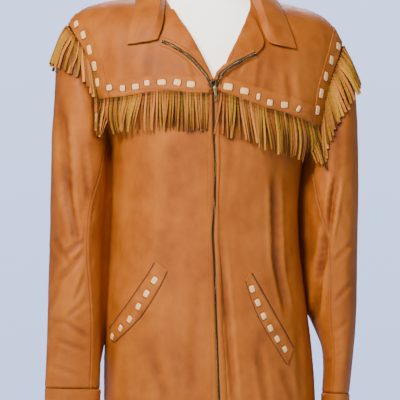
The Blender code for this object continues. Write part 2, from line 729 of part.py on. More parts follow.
def raise_laces(made, laced):
    """Raises the middle cells of a strip's outer skin, where the lace shows on it."""
    made.data.materials.append(material("lace", CREAM, 0.7))
    bm = bmesh.new()
    bm.from_mesh(made.data)
    bm.faces.ensure_lookup_table()
    for face in [bm.faces[i * 3 + 1] for i in laced]:
        normal = face.normal.copy()
        raised = bmesh.ops.extrude_discrete_faces(bm, faces=[face])["faces"][0]
        for v in raised.verts:
            v.co += normal * LACE_HIGH
        raised.material_index = 1
    bm.to_mesh(made.data)
    bm.free()


BAND_ACROSS = (0.0, 0.0090, 0.0195, BAND_WIDTH)


def make_band(name, place, marks, laced, tree):
    """A strip on a yoke whose lace shows as raised stitches along its middle.

    place(along, across) gives a point of the panel under the strip and its normal.
    """
    outer, inner, away = [], [], []
    for b in marks:
        spots = [place(b, a) for a in BAND_ACROSS]
        outer.append([hang(p + n * (SEAM + BAND_THICK)) for p, n in spots])
        inner.append([hang(p + n * SEAM) for p, n in spots])
        away.append([Vector(n) for _, n in spots])
    ease_off(outer, inner, away, tree)
    made = wall(name, outer, inner, leather(), split=False)
    raise_laces(made, laced)
    return made


def run_length(point, start, end, steps=24):
    """The length of a path, and a function from a distance along it to its parameter."""
    values = np.linspace(start, end, steps + 1)
    places = [point(v) for v in values]
    run = np.concatenate(([0.0], np.cumsum([np.linalg.norm(b - a)
                                            for a, b in zip(places, places[1:])])))
    return float(run[-1]), lambda d: float(np.interp(d, run, values))


BAND_START = 0.030  # where the front band starts, as a share of the section from the zip
BAND_EDGE = 0.0012  # how far the armhole band stays from the armhole's edge


def edge_scale(point, s, t):
    """Metres for each unit of share near the armhole end of a section."""
    return np.linalg.norm(point(s, t) - point(s * 0.8, t)) / 0.2


def make_front_band(side, tree):
    low = FRONT_LEVELS[YOKE_ROW] + SEAM

    def panel(s, t):
        return front_point(side, s, t)

    end = 1.0 - (BAND_WIDTH + BAND_EDGE + 0.0012) / edge_scale(panel, 1.0, low)
    length, at = run_length(lambda s: panel(s, low), BAND_START, end)

    def place(along, across):
        s, t = at(along), low + across
        return panel(s, t), front_normal(side, s, t)

    make_band("band_front_" + side, place, *band_cells(length), tree)


def make_armhole_band(side, tree):
    """Up the front of the armhole, over the shoulder and down its back."""
    low, top = FRONT_LEVELS[YOKE_ROW] + SEAM, FRONT_LEVELS[-1]
    back_low, back_top = BACK_LEVELS[YOKE_ROW] + SEAM, BACK_LEVELS[-1]
    mirror = -1 if side == "left" else 1

    def panel(s, t):
        return front_point(side, s, t)

    def front_spot(t, across):
        scale = edge_scale(panel, 1.0, t)
        s = 1.0 - (BAND_EDGE + BAND_WIDTH - across) / scale
        return panel(s, t), front_normal(side, s, t)

    def back_spot(t, across):
        scale = edge_scale(back_point, float(mirror), t)
        s = 1.0 - (BAND_EDGE + BAND_WIDTH - across) / scale
        return back_point(mirror * s, t), back_normal(mirror * s, t)

    front_length, front_at = run_length(lambda t: panel(1.0, t), low, top)
    back_length, back_at = run_length(lambda t: back_point(float(mirror), t), back_top, back_low)

    def place(along, across):
        if along <= front_length:
            return front_spot(front_at(along), across)
        return back_spot(back_at(along - front_length), across)

    marks, laced = band_cells(front_length)
    back_marks, back_laced = band_cells(back_length)
    laced += [i + len(marks) - 1 for i in back_laced]
    marks += [front_length + d for d in back_marks[1:]]
    make_band("band_armhole_" + side, place, marks, laced, tree)


def make_back_band(tree):
    low = BACK_LEVELS[YOKE_ROW] + SEAM
    reach = (BAND_WIDTH + BAND_EDGE + 0.0012) / edge_scale(back_point, 1.0, low)
    length, at = run_length(lambda s: back_point(s, low), reach - 1.0, 1.0 - reach, 40)

    def place(along, across):
        s, t = at(along), low + across
        return back_point(s, t), back_normal(s, t)

    make_band("band_back", place, *band_cells(length), tree)


def pushed_out(tree, p, clear, away):
    """A point moved off the skins of a tree until it is clear of them."""
    for _ in range(3):
        near, normal, _, _ = tree.find_nearest(p)
        height = (p - near).dot(normal)
        if height >= clear:
            return p
        outward = away if normal.dot(away) < 0.2 else normal
        p = p + outward * (clear - height + 0.0002)
    return p


def clearance(tree, p):
    """How far a point stands off the skins of a tree."""
    near, normal, _, _ = tree.find_nearest(p)
    return (p - near).dot(normal)


def root_stands(tree, places):
    """How far each root of a strip stands off, so that the strip clears what it lies on."""
    stands = [SEAM] * len(places)
    for _ in range(30):
        moved = set()
        for i, (p, n, up) in enumerate(places):
            after = places[min(i + 1, len(places) - 1)]
            for share in (0.0, 0.25, 0.5, 0.75):
                base = (p + n * stands[i]).lerp(after[0] + after[1] * stands[i], share)
                if min(clearance(tree, hang(base)), clearance(tree, hang(base + up))) < 0.00025:
                    moved |= {i, min(i + 1, len(places) - 1)} if share else {i}
        if not moved:
            break
        for i in moved:
            stands[i] += 0.0002
    return stands


STRAND_NARROW = (0.70, 0.12)  # a strand's width as a share of its root, and how much it tapers


def make_fringe(name, roots, tree, pitch, seed, sections=(0.5, 0.5), lean=0.0):
    """Strands cut in a strip, all of one piece: point(d) gives a root, its normal and its top.

    The lower face of each cell of the strip is drawn out downwards into a strand, along its own
    hanging path over what lies under it, so the strands part from each other below their roots.
    lean is how much they start outwards from the strip, for each metre that they fall.
    """
    rng = random.Random(seed)
    point, length = roots
    count = int(length / pitch)
    bm = bmesh.new()
    places = [[Vector(q) for q in point(length * i / count)] for i in range(count + 1)]
    rings = []
    for (p, n, up), stand in zip(places, root_stands(tree, places)):
        base = p + n * stand
        ring = [base, base + n * STRAND_THICK, base + n * STRAND_THICK + up, base + up]
        rings.append([bm.verts.new(hang(q)) for q in ring])
    lows = []
    for a, b in zip(rings, rings[1:]):
        lows.append(bm.faces.new((a[0], a[1], b[1], b[0])))
        for j in (1, 2, 3):
            k = (j + 1) % 4
            bm.faces.new((a[j], a[k], b[k], b[j]))
    bm.faces.new((rings[0][0], rings[0][1], rings[0][2], rings[0][3]))
    bm.faces.new((rings[-1][3], rings[-1][2], rings[-1][1], rings[-1][0]))
    for i, low in enumerate(lows):
        _, n, up = (Vector(q) for q in point(length * (i + 0.5) / count))
        down = (Vector((0, 0, -1)) - up.normalized() * lean).normalized()
        long = FRINGE_LONG * rng.uniform(0.93, 1.04)
        swing = rng.uniform(-0.0004, 0.0004)
        here = low.calc_center_median()
        corners = [v.co - here for v in low.verts]
        along = (corners[0] - corners[3]).normalized()
        wide = (corners[0] - corners[3]).length * along.cross(down).length
        share = 0.0
        for part in sections:
            share += part
            before, earlier = here.copy(), corners
            target = before + down * long * part + along * swing
            half = wide * (STRAND_NARROW[0] - STRAND_NARROW[1] * share) / 2
            for _ in range(16):
                target = pushed_out(tree, target, 0.0018 + 0.0012 * share, n)
                run = (target - before).normalized()
                here = before + run * long * part
                _, skin, _, _ = tree.find_nearest(here)
                skin = n if skin.dot(n) < 0 else skin
                deep = (skin - run * skin.dot(run)).normalized()
                across = deep.cross(run)
                across = across if across.dot(along) > 0 else -across
                near, far = across * half, deep * STRAND_THICK / 2
                corners = [near - far, near + far, far - near, -near - far]
                room = min(clearance(tree, (before + a).lerp(here + b, k / 8))
                           for a, b in zip(earlier, corners) for k in range(1, 9))
                if room > 0.0007:
                    break
                target = here + n * 0.0012
            tip = bmesh.ops.extrude_discrete_faces(bm, faces=[low])["faces"][0]
            for v, offset in zip(tip.verts, corners):
                v.co = here + offset
            low = tip
    return finish(name, bm, material("fringe", GOLD, 0.8))


def seam_roots(point_at, normal_at, low, start, end):
    """Roots along the yoke seam, on the upper edge of the panel below it."""
    length, at = run_length(lambda s: point_at(s, low), start, end, 40)

    def point(d):
        s = at(d)
        p = point_at(s, low - FRINGE_ROOT)
        return p, normal_at(s, low - FRINGE_ROOT), point_at(s, low) - p

    return point, length


ARMHOLE_FRINGE = (100, -96)  # degrees of the armhole at which the fringe starts and ends
ARMHOLE_STAND = 0.0046  # how far the strip starts from the armhole, down the sleeve


def armhole_roots(side):
    """Round the top of the armhole, standing on the sleeve's first few millimetres."""
    w = ARMHOLE_STAND + FRINGE_ROOT
    length, at = run_length(lambda a: sleeve_point(side, a, w), *ARMHOLE_FRINGE, 40)

    def point(d):
        degrees = at(d)
        p = sleeve_point(side, degrees, w)
        return (p, sleeve_normal(side, degrees, w),
                sleeve_point(side, degrees, ARMHOLE_STAND) - p)

    return point, length


def make_facing(side, tree):
    """The turned-out top of a front: it rolls over the neck edge and lies on the yoke."""
    mirror = -1 if side == "left" else 1
    start, end = FRONT_LEVELS[YOKE_ROW + 1], FRONT_LEVELS[-3] + 0.010
    skin = tree_of(["yoke_front_" + side])
    count = 12
    knots = np.linspace(0, 1, len(LAPEL))
    outer, inner, away = [], [], []
    for i in range(count):
        u = i / (count - 1)
        t = start + (end - start) * u
        edge = Vector(front_point(side, 0.0, t))
        normal = Vector(front_normal(side, 0.02, t))
        tangent = Vector(front_point(side, 0.0, t + 0.004) - front_point(side, 0.0, t - 0.004))
        tangent.normalize()
        inward = tangent.cross(normal).normalized()
        if inward.x * mirror > 0:
            inward = -inward
        free = spline([np.array(q) for q in LAPEL], knots, u)
        guess = hang(Vector((free[0] * mirror, edge.y - 0.004, free[1])))
        near, face_normal, _, _ = skin.find_nearest(guess)
        room = 0.0030 + 0.0030 * math.sin(math.pi * min(1.0, u * 1.3))
        path = [hang(edge + inward * 0.0020 - normal * 0.0004),
                hang(edge + inward * 0.0026 + normal * 0.0026),
                hang(edge - inward * 0.0006 + normal * 0.0044)]
        last = near + face_normal * room
        path += [path[2].lerp(last, share) + normal * 0.0012 * (1 - share)
                 for share in (0.36, 0.70, 1.0)]
        outs = [inward, (inward + normal).normalized(), (normal * 2 + inward).normalized(),
                normal, normal, face_normal.copy()]
        outer.append([q + n * 0.0007 for q, n in zip(path, outs)])
        inner.append([q - n * 0.0007 for q, n in zip(path, outs)])
        away.append([inward, (inward + normal).normalized(), normal, normal, normal, normal])
    ease_off(outer, inner, away, tree)
    return wall("facing_" + side, outer, inner, leather())


def make_collar(tree):
    """The turned-down collar: a stand up to its crest, and a fall that lies round the yokes."""
    rows = []
    for seam, crest, edge, lift in COLLAR:
        near, normal, _, _ = tree.find_nearest(hang(Vector(edge)))
        rows.append((hang(Vector(seam)), hang(Vector(crest)), near + normal * lift))
    half = []
    knots = np.linspace(0, 1, len(rows))
    for u in np.linspace(0, 1, 10):
        seam, crest, edge = (Vector(spline([np.array(r[k]) for r in rows], knots, u))
                             for k in range(3))
        stand = min(1.0, u * 2.6)
        out = edge - seam
        out.z = 0
        out.normalize()
        turn = crest + out * 0.0078 * stand + Vector((0, 0, -0.0036 * stand))
        if stand < 1.0:
            turn = turn.lerp(edge, 0.12 * (1 - stand))
        path = [seam, seam.lerp(crest, 0.55), crest, turn,
                turn.lerp(edge, 0.45) + out * 0.0020 * stand, edge]
        half.append(path)

    def mirrored(p):
        level = p.z + p.x * between(HANG, p.z) + p.x * between(HANG, p.z)
        return Vector((-p.x, p.y, level))

    stations = [[mirrored(p) for p in path] for path in half]
    stations += [list(path) for path in reversed(half[:-1])]
    outer, inner, away = [], [], []
    for i, path in enumerate(stations):
        after, before = stations[min(i + 1, len(stations) - 1)], stations[max(i - 1, 0)]
        row, under, outs = [], [], []
        for k, p in enumerate(path):
            run = path[min(k + 1, len(path) - 1)] - path[max(k - 1, 0)]
            n = run.cross(after[k] - before[k]).normalized()
            row.append(p + n * LEATHER / 2)
            under.append(p - n * LEATHER / 2)
            _, skin, _, _ = tree.find_nearest(p)
            outs.append((skin * 0.7 + Vector((0, 0, 0.5))).normalized())
        outer.append(row)
        inner.append(under)
        away.append(outs)
    ease_off(outer, inner, away, tree)
    return wall("collar", outer, inner, leather())


def make_welt(side, tree):
    """A slanted pocket welt, standing proud of the front, with raised lace stitches."""
    (x0, z0), (x1, z1), stitches = POCKETS[side]
    start, end = Vector((x0, 0, z0)), Vector((x1, 0, z1))
    axis = (end - start).normalized()
    across = Vector((abs(axis.z), 0, -abs(axis.x)))
    if side == "right":
        across.x = -across.x
    length = (end - start).length
    pitch = (length - 0.012) / stitches
    marks, laced = [0.0], []
    for i in range(stitches):
        middle = 0.006 + (i + 0.5) * pitch
        marks += [middle - 0.0066, middle + 0.0066]
        laced.append(2 * i + 1)
    marks.append(length)
    outer, inner, away = [], [], []
    for d in marks:
        bow = math.sin(math.pi * min(max(d / length, 0.06), 0.94)) ** 0.6
        row, under, outs = [], [], []
        for share in (0.0, 0.32, 0.80, 1.0):
            q = start + axis * d + across * WELT_WIDTH * (0.35 + 0.65 * bow) * share
            q.y = -0.3
            hit, normal, _, _ = tree.ray_cast(q, Vector((0, 1, 0)), 0.5)
            row.append(hit + normal * (SEAM + WELT_THICK))
            under.append(hit + normal * SEAM)
            outs.append(normal.copy())
        outer.append(row)
        inner.append(under)
        away.append(outs)
    ease_off(outer, inner, away, tree)
    made = wall("pocket_welt_" + side, outer, inner, leather(), split=False)
    raise_laces(made, laced)


def bar(name, path, outs, wide, thick, look, tree=None):
    """A flat bar along a path, wide across it and thick outwards."""
    outer, inner = [], []
    for i, (p, n) in enumerate(zip(path, outs)):
        along = path[min(i + 1, len(path) - 1)] - path[max(i - 1, 0)]
        side = n.cross(along).normalized() * wide / 2
        outer.append([p - side + n * thick / 2, p + side + n * thick / 2])
        inner.append([p - side - n * thick / 2, p + side - n * thick / 2])
    if tree:
        ease_off(outer, inner, [[n, n] for n in outs], tree)
    return wall(name, outer, inner, look)


def zip_middle(t):
    """The middle of the closed zip at a level of the fronts."""
    p = front_point("right", 0.0, t)
    return hang(np.array((0.0, p[1] + 0.0008, p[2])))


def make_zip(tree):
    """The closed chain between the fronts, and its open halves on the turned-out facings."""
    brass = material("zip", BRASS, 0.4, 0.9)
    forward = Vector((0, -1, 0))
    start, end = 0.012, FRONT_LEVELS[YOKE_ROW] + 0.009
    path = [zip_middle(t) for t in np.linspace(start, end, 16)]
    bar("zip_chain", path, [forward] * len(path), ZIP_CHAIN, ZIP_THICK, brass)
    for side in ("left", "right"):
        facing = bpy.data.objects["facing_" + side].data
        columns, rows = 6, 12
        points = [v.co.copy() for v in facing.vertices]
        line, outs = [], []
        for i in range(2, 9):
            p, q = points[i * columns + 4], points[i * columns + 5]
            spot = q.lerp(p, min(0.45, 0.0034 / max((q - p).length, 0.001)))
            n = (q - points[(rows + i) * columns + 5]).normalized()
            line.append(spot + n * (SEAM + 0.0010))
            outs.append(n)
        bar("zip_half_" + side, line, outs, 0.0030, 0.0016, brass,
            tree_of(["facing_" + side], skin_only=False))


def box_between(low, high):
    bm = bmesh.new()
    bmesh.ops.create_cube(bm, size=1.0)
    for v in bm.verts:
        v.co = Vector([low[k] if v.co[k] < 0 else high[k] for k in range(3)])
    return bm


PULL_CLEAR = 0.0011  # from the front of the slider's bail to the axis of the pull


def make_slider():
    """The zip's slider, rounded at its corners, with the bail that holds the pull."""
    top = zip_middle(FRONT_LEVELS[YOKE_ROW] + 0.005)
    y = top.y - ZIP_THICK / 2 - SEAM
    bm = box_between((top.x - 0.0042, y - 0.0022, top.z - 0.0070),
                     (top.x + 0.0042, y, top.z + 0.0050))
    upright = [e for e in bm.edges if abs(e.verts[0].co.y - e.verts[1].co.y) > 1e-4]
    bmesh.ops.bevel(bm, geom=upright, offset=0.0018, segments=2, affect="EDGES")
    front = [f for f in bm.faces if f.normal.y < -0.9]
    bmesh.ops.inset_individual(bm, faces=front, thickness=0.0021)
    raised = bmesh.ops.extrude_discrete_faces(bm, faces=front)["faces"][0]
    for v in raised.verts:
        v.co.y -= 0.0016
    finish("zip_slider", bm, material("zip", BRASS, 0.4, 0.9))
    return Vector((top.x, y - 0.0022 - 0.0016 - PULL_CLEAR, top.z - 0.0030))


def make_pull(pivot):
    """The pull tab hangs from the slider's bail, and swings up about a level axis."""
    bm = bmesh.new()
    half, hole, thick = PULL_WIDE / 2, 0.0014, 0.0012
    outline = [(-half * 0.62, 0.0006), (half * 0.62, 0.0006), (half, -PULL_LONG * 0.55),
               (half * 0.9, -PULL_LONG), (-half * 0.9, -PULL_LONG), (-half, -PULL_LONG * 0.55)]
    centre = -PULL_LONG * 0.76
    window = [(-hole * 0.7, centre + hole * 2.4), (hole * 0.7, centre + hole * 2.4),
              (hole, centre), (hole * 0.8, centre - hole), (-hole * 0.8, centre - hole),
              (-hole, centre)]
    loops = []
    for ring in (outline, window):
        for depth in (-thick / 2, thick / 2):
            loops.append([bm.verts.new((x, depth, z)) for x, z in ring])
    count = len(outline)
    for i in range(count):
        k = (i + 1) % count
        bm.faces.new((loops[0][i], loops[0][k], loops[2][k], loops[2][i]))
        bm.faces.new((loops[1][i], loops[3][i], loops[3][k], loops[1][k]))
        bm.faces.new((loops[0][i], loops[1][i], loops[1][k], loops[0][k]))
        bm.faces.new((loops[2][i], loops[2][k], loops[3][k], loops[3][i]))
    made = finish("zip_pull", bm, material("zip", BRASS, 0.4, 0.9))
    made.location = pivot


def make_form(tree):
    """The limbless dress form: a smooth closed torso, cut flat below and at the neck."""
    around = 24
    heights = [row[0] for row in FORM]
    columns = [[np.array(row[k]) for row in FORM] for k in (1, 2, 3)]
    rings = []
    for z in FORM_RINGS:
        wide, front, back = (float(spline(c, heights, z)) for c in columns)
        ring = []
        for j in range(around):
            a = 2 * math.pi * j / around
            x = wide * math.copysign(abs(math.cos(a)) ** 0.9, math.cos(a))
            y = math.sin(a) * (back if math.sin(a) > 0 else -front)
            ring.append(Vector((x, y, z)))
        rings.append(ring)
    seat(rings, tree)
    bm = bmesh.new()
    made = [[bm.verts.new(p) for p in ring] for ring in rings]
    for low, high in zip(made, made[1:]):
        for j in range(around):
            k = (j + 1) % around
            bm.faces.new((low[j], low[k], high[k], high[j]))
    bm.faces.new(list(reversed(made[0])))
    bm.faces.new(made[-1])
    finish("dress_form", bm, material("form_cover", FORM_WHITE, 0.7))


FORM_RINGS = (0.0, 0.02, 0.12, 0.25, 0.38, 0.50, 0.60, 0.67, 0.72, 0.75, 0.775, 0.795, 0.812,
              0.828, 0.850, 0.895, 0.908)


def seat(rings, tree):
    """Draws the form in, a little at a time, until it is just clear of all that it carries."""
    count = len(rings[0])
    quads = [(i * count + j, i * count + (j + 1) % count,
              (i + 1) * count + (j + 1) % count, (i + 1) * count + j)
             for i in range(len(rings) - 1) for j in range(count)]

    def inward(p):
        return (Vector((0.0, 0.0, min(p.z - 0.05, 0.70))) - p).normalized()

    for _ in range(120):
        points = [p for ring in rings for p in ring]
        fat = [p - inward(p) * SEAM for p in points]
        hits = BVHTree.FromPolygons(fat, quads).overlap(tree)
        moved = {k for face, _ in hits for k in quads[face]}
        if not moved:
            return
        for k in moved:
            i, j = divmod(k, count)
            rings[i][j] = rings[i][j] + inward(points[k]) * 0.0004


def main():
    clear_scene()
    make_back()
    make_yoke_back()
    for side in ("left", "right"):
        make_front(side)
        make_yoke_front(side)
        make_sleeve(side)
        make_cuff(side)
    body = ["front_left", "front_right", "back"]
    yokes = ["yoke_front_left", "yoke_front_right", "yoke_back"]
    sleeves = ["sleeve_top_left", "sleeve_under_left", "sleeve_top_right", "sleeve_under_right"]
    shell = tree_of(body + yokes + sleeves, skin_only=False)
    fronts = tree_of(body[:2])
    for side in ("left", "right"):
        make_front_band(side, shell)
        make_armhole_band(side, shell)
        make_facing(side, shell)
        make_welt(side, fronts)
    make_back_band(shell)
    facings = ["facing_left", "facing_right"]
    make_collar(tree_of(yokes + facings))
    make_form(tree_of(body + yokes + facings + ["collar"], skin_only=False))
    make_zip(shell)
    make_pull(make_slider())
    under = tree_of(body + sleeves)
    for i, side in enumerate(("left", "right")):
        roots = seam_roots(lambda s, t: front_point(side, s, t),
                           lambda s, t: front_normal(side, s, t),
                           FRONT_LEVELS[YOKE_ROW] - SEAM, BAND_START, 0.955)
        make_fringe("fringe_front_" + side, roots, under, 0.0054, 11 + i)
        make_fringe("fringe_armhole_" + side, armhole_roots(side), under, 0.0086, 21 + i,
                    (0.16, 0.38, 0.46), 0.45)
    roots = seam_roots(back_point, back_normal, BACK_LEVELS[YOKE_ROW] - SEAM, -0.955, 0.955)
    make_fringe("fringe_back", roots, under, 0.0080, 31)


main()
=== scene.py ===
# %% [markdown]
# # A fringed deerskin jacket
# A western jacket of smooth tan deerskin, zipped to the chest and open above it, on a plain torso
# form. Its panels were cut from hides, sewn, and trimmed with laced bands and long fringe.
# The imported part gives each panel's true shape. This script gives each one its leather.

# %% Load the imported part
import math
import random

import bmesh
import bpy
from mathutils import Matrix, Vector, noise
from mathutils.bvhtree import BVHTree
from mathutils.kdtree import KDTree


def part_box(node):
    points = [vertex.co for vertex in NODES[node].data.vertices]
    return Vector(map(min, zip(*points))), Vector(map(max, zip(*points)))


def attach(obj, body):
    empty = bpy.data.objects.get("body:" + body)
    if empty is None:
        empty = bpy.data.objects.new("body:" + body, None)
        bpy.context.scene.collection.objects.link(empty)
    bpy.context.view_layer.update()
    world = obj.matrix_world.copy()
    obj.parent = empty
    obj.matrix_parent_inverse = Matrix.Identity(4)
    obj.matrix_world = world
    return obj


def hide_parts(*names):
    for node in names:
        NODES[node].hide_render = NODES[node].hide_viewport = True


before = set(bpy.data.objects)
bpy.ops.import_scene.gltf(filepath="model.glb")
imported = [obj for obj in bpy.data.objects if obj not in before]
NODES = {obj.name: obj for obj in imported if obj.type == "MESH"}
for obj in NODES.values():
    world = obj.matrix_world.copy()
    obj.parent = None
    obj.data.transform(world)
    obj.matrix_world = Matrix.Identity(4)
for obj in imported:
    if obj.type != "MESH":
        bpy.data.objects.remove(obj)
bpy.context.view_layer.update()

SIDES = ("left", "right")

# %% [markdown]
# ## Camera
# The photograph was taken level with the middle of the jacket and a little from the wearer's
# right, so one sleeve looks wide and the other is seen almost edge on. A long lens from far off
# keeps both shoulders the same size.

# %% Camera
MM = 0.001
PIXEL = 1.8 * MM  # one pixel of the 400 pixel frame, on the plane through the shoulders
FRAME = 400
MIDDLE = FRAME / 2
AZIMUTH = math.radians(-6.5)
DISTANCE = 14.0
TARGET = Vector((-0.0168, -0.060, 0.4554))
SENSOR = 36.0
# The pixel column of the part's middle, and a height in metres with its pixel row.
MIDDLE_COLUMN, KNOWN_HEIGHT, KNOWN_ROW = 205.5, 0.045, 428


def make_camera():
    """The camera at the photograph's angle, framed so that 400 pixels span 720 mm."""
    data = bpy.data.cameras.new("camera")
    made = bpy.data.objects.new("camera", data)
    bpy.context.scene.collection.objects.link(made)
    data.sensor_width = SENSOR
    data.lens = SENSOR * DISTANCE / (FRAME * PIXEL)
    away = Vector((math.sin(AZIMUTH), -math.cos(AZIMUTH), 0))
    made.location = TARGET + away * DISTANCE
    made.rotation_euler = (-away).to_track_quat("-Z", "Y").to_euler()
    bpy.context.scene.camera = made


make_camera()
print("lens:", round(bpy.context.scene.camera.data.lens, 1), "mm")
VIEW_IN = Vector((-math.sin(AZIMUTH), math.cos(AZIMUTH), 0))
VIEW_RIGHT = Vector((math.cos(AZIMUTH), math.sin(AZIMUTH), 0))
UP = Vector((0, 0, 1))


def hit(tree, px, py):
    """Where the line of sight through a pixel of the photograph meets a surface."""
    eye = TARGET - VIEW_IN * DISTANCE
    aim = (VIEW_IN * DISTANCE + VIEW_RIGHT * (px - MIDDLE) * PIXEL
           + UP * (MIDDLE - py) * PIXEL)
    spot, normal, _, _ = tree.ray_cast(eye, aim.normalized())
    return spot, normal


def pixel_of(p):
    """The pixel of the photograph at which a point is seen."""
    across = (p - TARGET).dot(VIEW_RIGHT) / PIXEL
    return MIDDLE + across, MIDDLE - (p.z - TARGET.z) / PIXEL


def between(table, x):
    """A value read off a table of (x, value) rows, straight from row to row."""
    if x <= table[0][0]:
        return table[0][1]
    for (x0, v0), (x1, v1) in zip(table, table[1:]):
        if x <= x1:
            return v0 + (v1 - v0) * (x - x0) / (x1 - x0)
    return table[-1][1]


def at(px, py, y=-0.13):
    """x and z of a pixel of the photograph, on the upright plane at depth y."""
    across = (px - MIDDLE_COLUMN) * PIXEL
    up = KNOWN_HEIGHT + (KNOWN_ROW - py) * PIXEL
    return (across - math.sin(AZIMUTH) * y) / math.cos(AZIMUTH), up


# %% [markdown]
# ## Colours and nodes
# Colours are read off as sRGB hex values, and one function turns them to the linear values that
# Cycles works in. One more adds a shader node with its settings and links.

# %% Colour and node helpers


def linear(text):
    """A hex sRGB colour as linear values, with an alpha of 1."""
    parts = [int(text[i:i + 2], 16) / 255 for i in (1, 3, 5)]
    parts = [c / 12.92 if c <= 0.04045 else ((c + 0.055) / 1.055) ** 2.4 for c in parts]
    return (*parts, 1.0)


def add(tree, kind, values=None, links=None, **settings):
    """A node with its settings, its unlinked values, and links from (node, output) pairs."""
    node = tree.nodes.new(kind)
    for key, value in settings.items():
        setattr(node, key, value)
    for key, value in (values or {}).items():
        node.inputs[key].default_value = value
    for key, (source, output) in (links or {}).items():
        tree.links.new(source.outputs[output], node.inputs[key])
    return node


def ramp(tree, source, output, stops):
    """A colour ramp through (position, hex or grey) stops."""
    node = add(tree, "ShaderNodeValToRGB", links={"Fac": (source, output)})
    points = node.color_ramp.elements
    while len(points) < len(stops):
        points.new(0.5)
    for point, (place, colour) in zip(points, stops):
        point.position = place
        point.color = linear(colour) if isinstance(colour, str) else (colour,) * 3 + (1,)
    return node


def new_material(name):
    """A material with its node tree and its main shader."""
    made = bpy.data.materials.new(name)
    made.use_nodes = True
    tree = made.node_tree
    return made, tree, tree.nodes["Principled BSDF"]


# %% [markdown]
# ## Deerskin
# Deer leather is tanned soft and its grain left on. The eye sees a warm tan that wanders in tone
# from place to place and a fine pebble that breaks up the light. Troughs of folds and seams are
# darker, which is painted shade, and ridges paler, which is painted highlight. The sheen is satin.

# %% Deerskin material
# Leather that lies in the shade of the fringe, or deep in a seam.
SHADE = "#3A1B07"


def deerskin(name, low, middle, high, rough=0.50):
    """Smooth grain leather: low is the colour of troughs, painted shade, high of ridges, painted
    highlight.
    """
    made, tree, shader = new_material(name)
    where = add(tree, "ShaderNodeTexCoord")
    spot = (where, "Object")
    hide = add(tree, "ShaderNodeTexNoise", {"Scale": 9.0, "Detail": 4.0, "Roughness": 0.55,
                                            "Distortion": 0.6}, {"Vector": spot})
    tone = add(tree, "ShaderNodeTexNoise", {"Scale": 42.0, "Detail": 5.0, "Roughness": 0.6},
               {"Vector": spot})
    fold = add(tree, "ShaderNodeAttribute", attribute_name="relief")
    mixed = add(tree, "ShaderNodeMath", {1: 0.62}, {0: (hide, "Fac")}, operation="MULTIPLY")
    mixed = add(tree, "ShaderNodeMath", {1: 0.38}, {0: (tone, "Fac"), 2: (mixed, 0)},
                operation="MULTIPLY_ADD")
    # The relief paints shade into troughs and seams, and a highlight onto ridges.
    mixed = add(tree, "ShaderNodeMath", {1: 0.16}, {0: (fold, "Fac"), 2: (mixed, 0)},
                operation="MULTIPLY_ADD")
    colour = ramp(tree, mixed, 0, ((0.02, SHADE), (0.27, low), (0.50, middle), (0.74, high)))
    tree.links.new(colour.outputs["Color"], shader.inputs["Base Color"])
    # Pebble of deer grain, drawn 2 mm wide because its real 0.7 mm is finer than a pixel.
    pebble = add(tree, "ShaderNodeTexVoronoi", {"Scale": 480.0, "Randomness": 1.0},
                 {"Vector": spot}, feature="DISTANCE_TO_EDGE")
    pebble = ramp(tree, pebble, "Distance", ((0.0, 0.0), (0.22, 1.0)))
    # Short wrinkles about 8 mm apart, from the leather being worn soft.
    crinkle = add(tree, "ShaderNodeTexNoise", {"Scale": 120.0, "Detail": 3.0, "Distortion": 1.2},
                  {"Vector": spot})
    height = add(tree, "ShaderNodeMath", {1: 0.22}, {0: (pebble, "Color"), 2: (crinkle, "Fac")},
                 operation="MULTIPLY_ADD")
    bump = add(tree, "ShaderNodeBump", {"Strength": 0.55, "Distance": 0.5 * MM},
               {"Height": (height, 0)})
    tree.links.new(bump.outputs["Normal"], shader.inputs["Normal"])
    gloss = ramp(tree, tone, "Fac", ((0.30, rough - 0.07), (0.72, rough + 0.12)))
    tree.links.new(gloss.outputs["Color"], shader.inputs["Roughness"])
    shader.inputs["IOR"].default_value = 1.46
    shader.inputs["Specular IOR Level"].default_value = 0.24
    return made


DEERSKIN = deerskin("deerskin, smooth grain", "#80400D", "#9E5414", "#B2651F", 0.54)
BAND_LEATHER = deerskin("deerskin, band", "#88460F", "#A55917", "#B96B24", 0.56)

# %% [markdown]
# ## Suede fringe, lace, thread, brass and the form's cover
# Each strand has two faces. The flesh side is a napped gold that gives no highlight, and the
# grain side is the pinkish tan of the panels. Lace is undyed, cream-white hide.

# %% Fringe, lace and thread materials


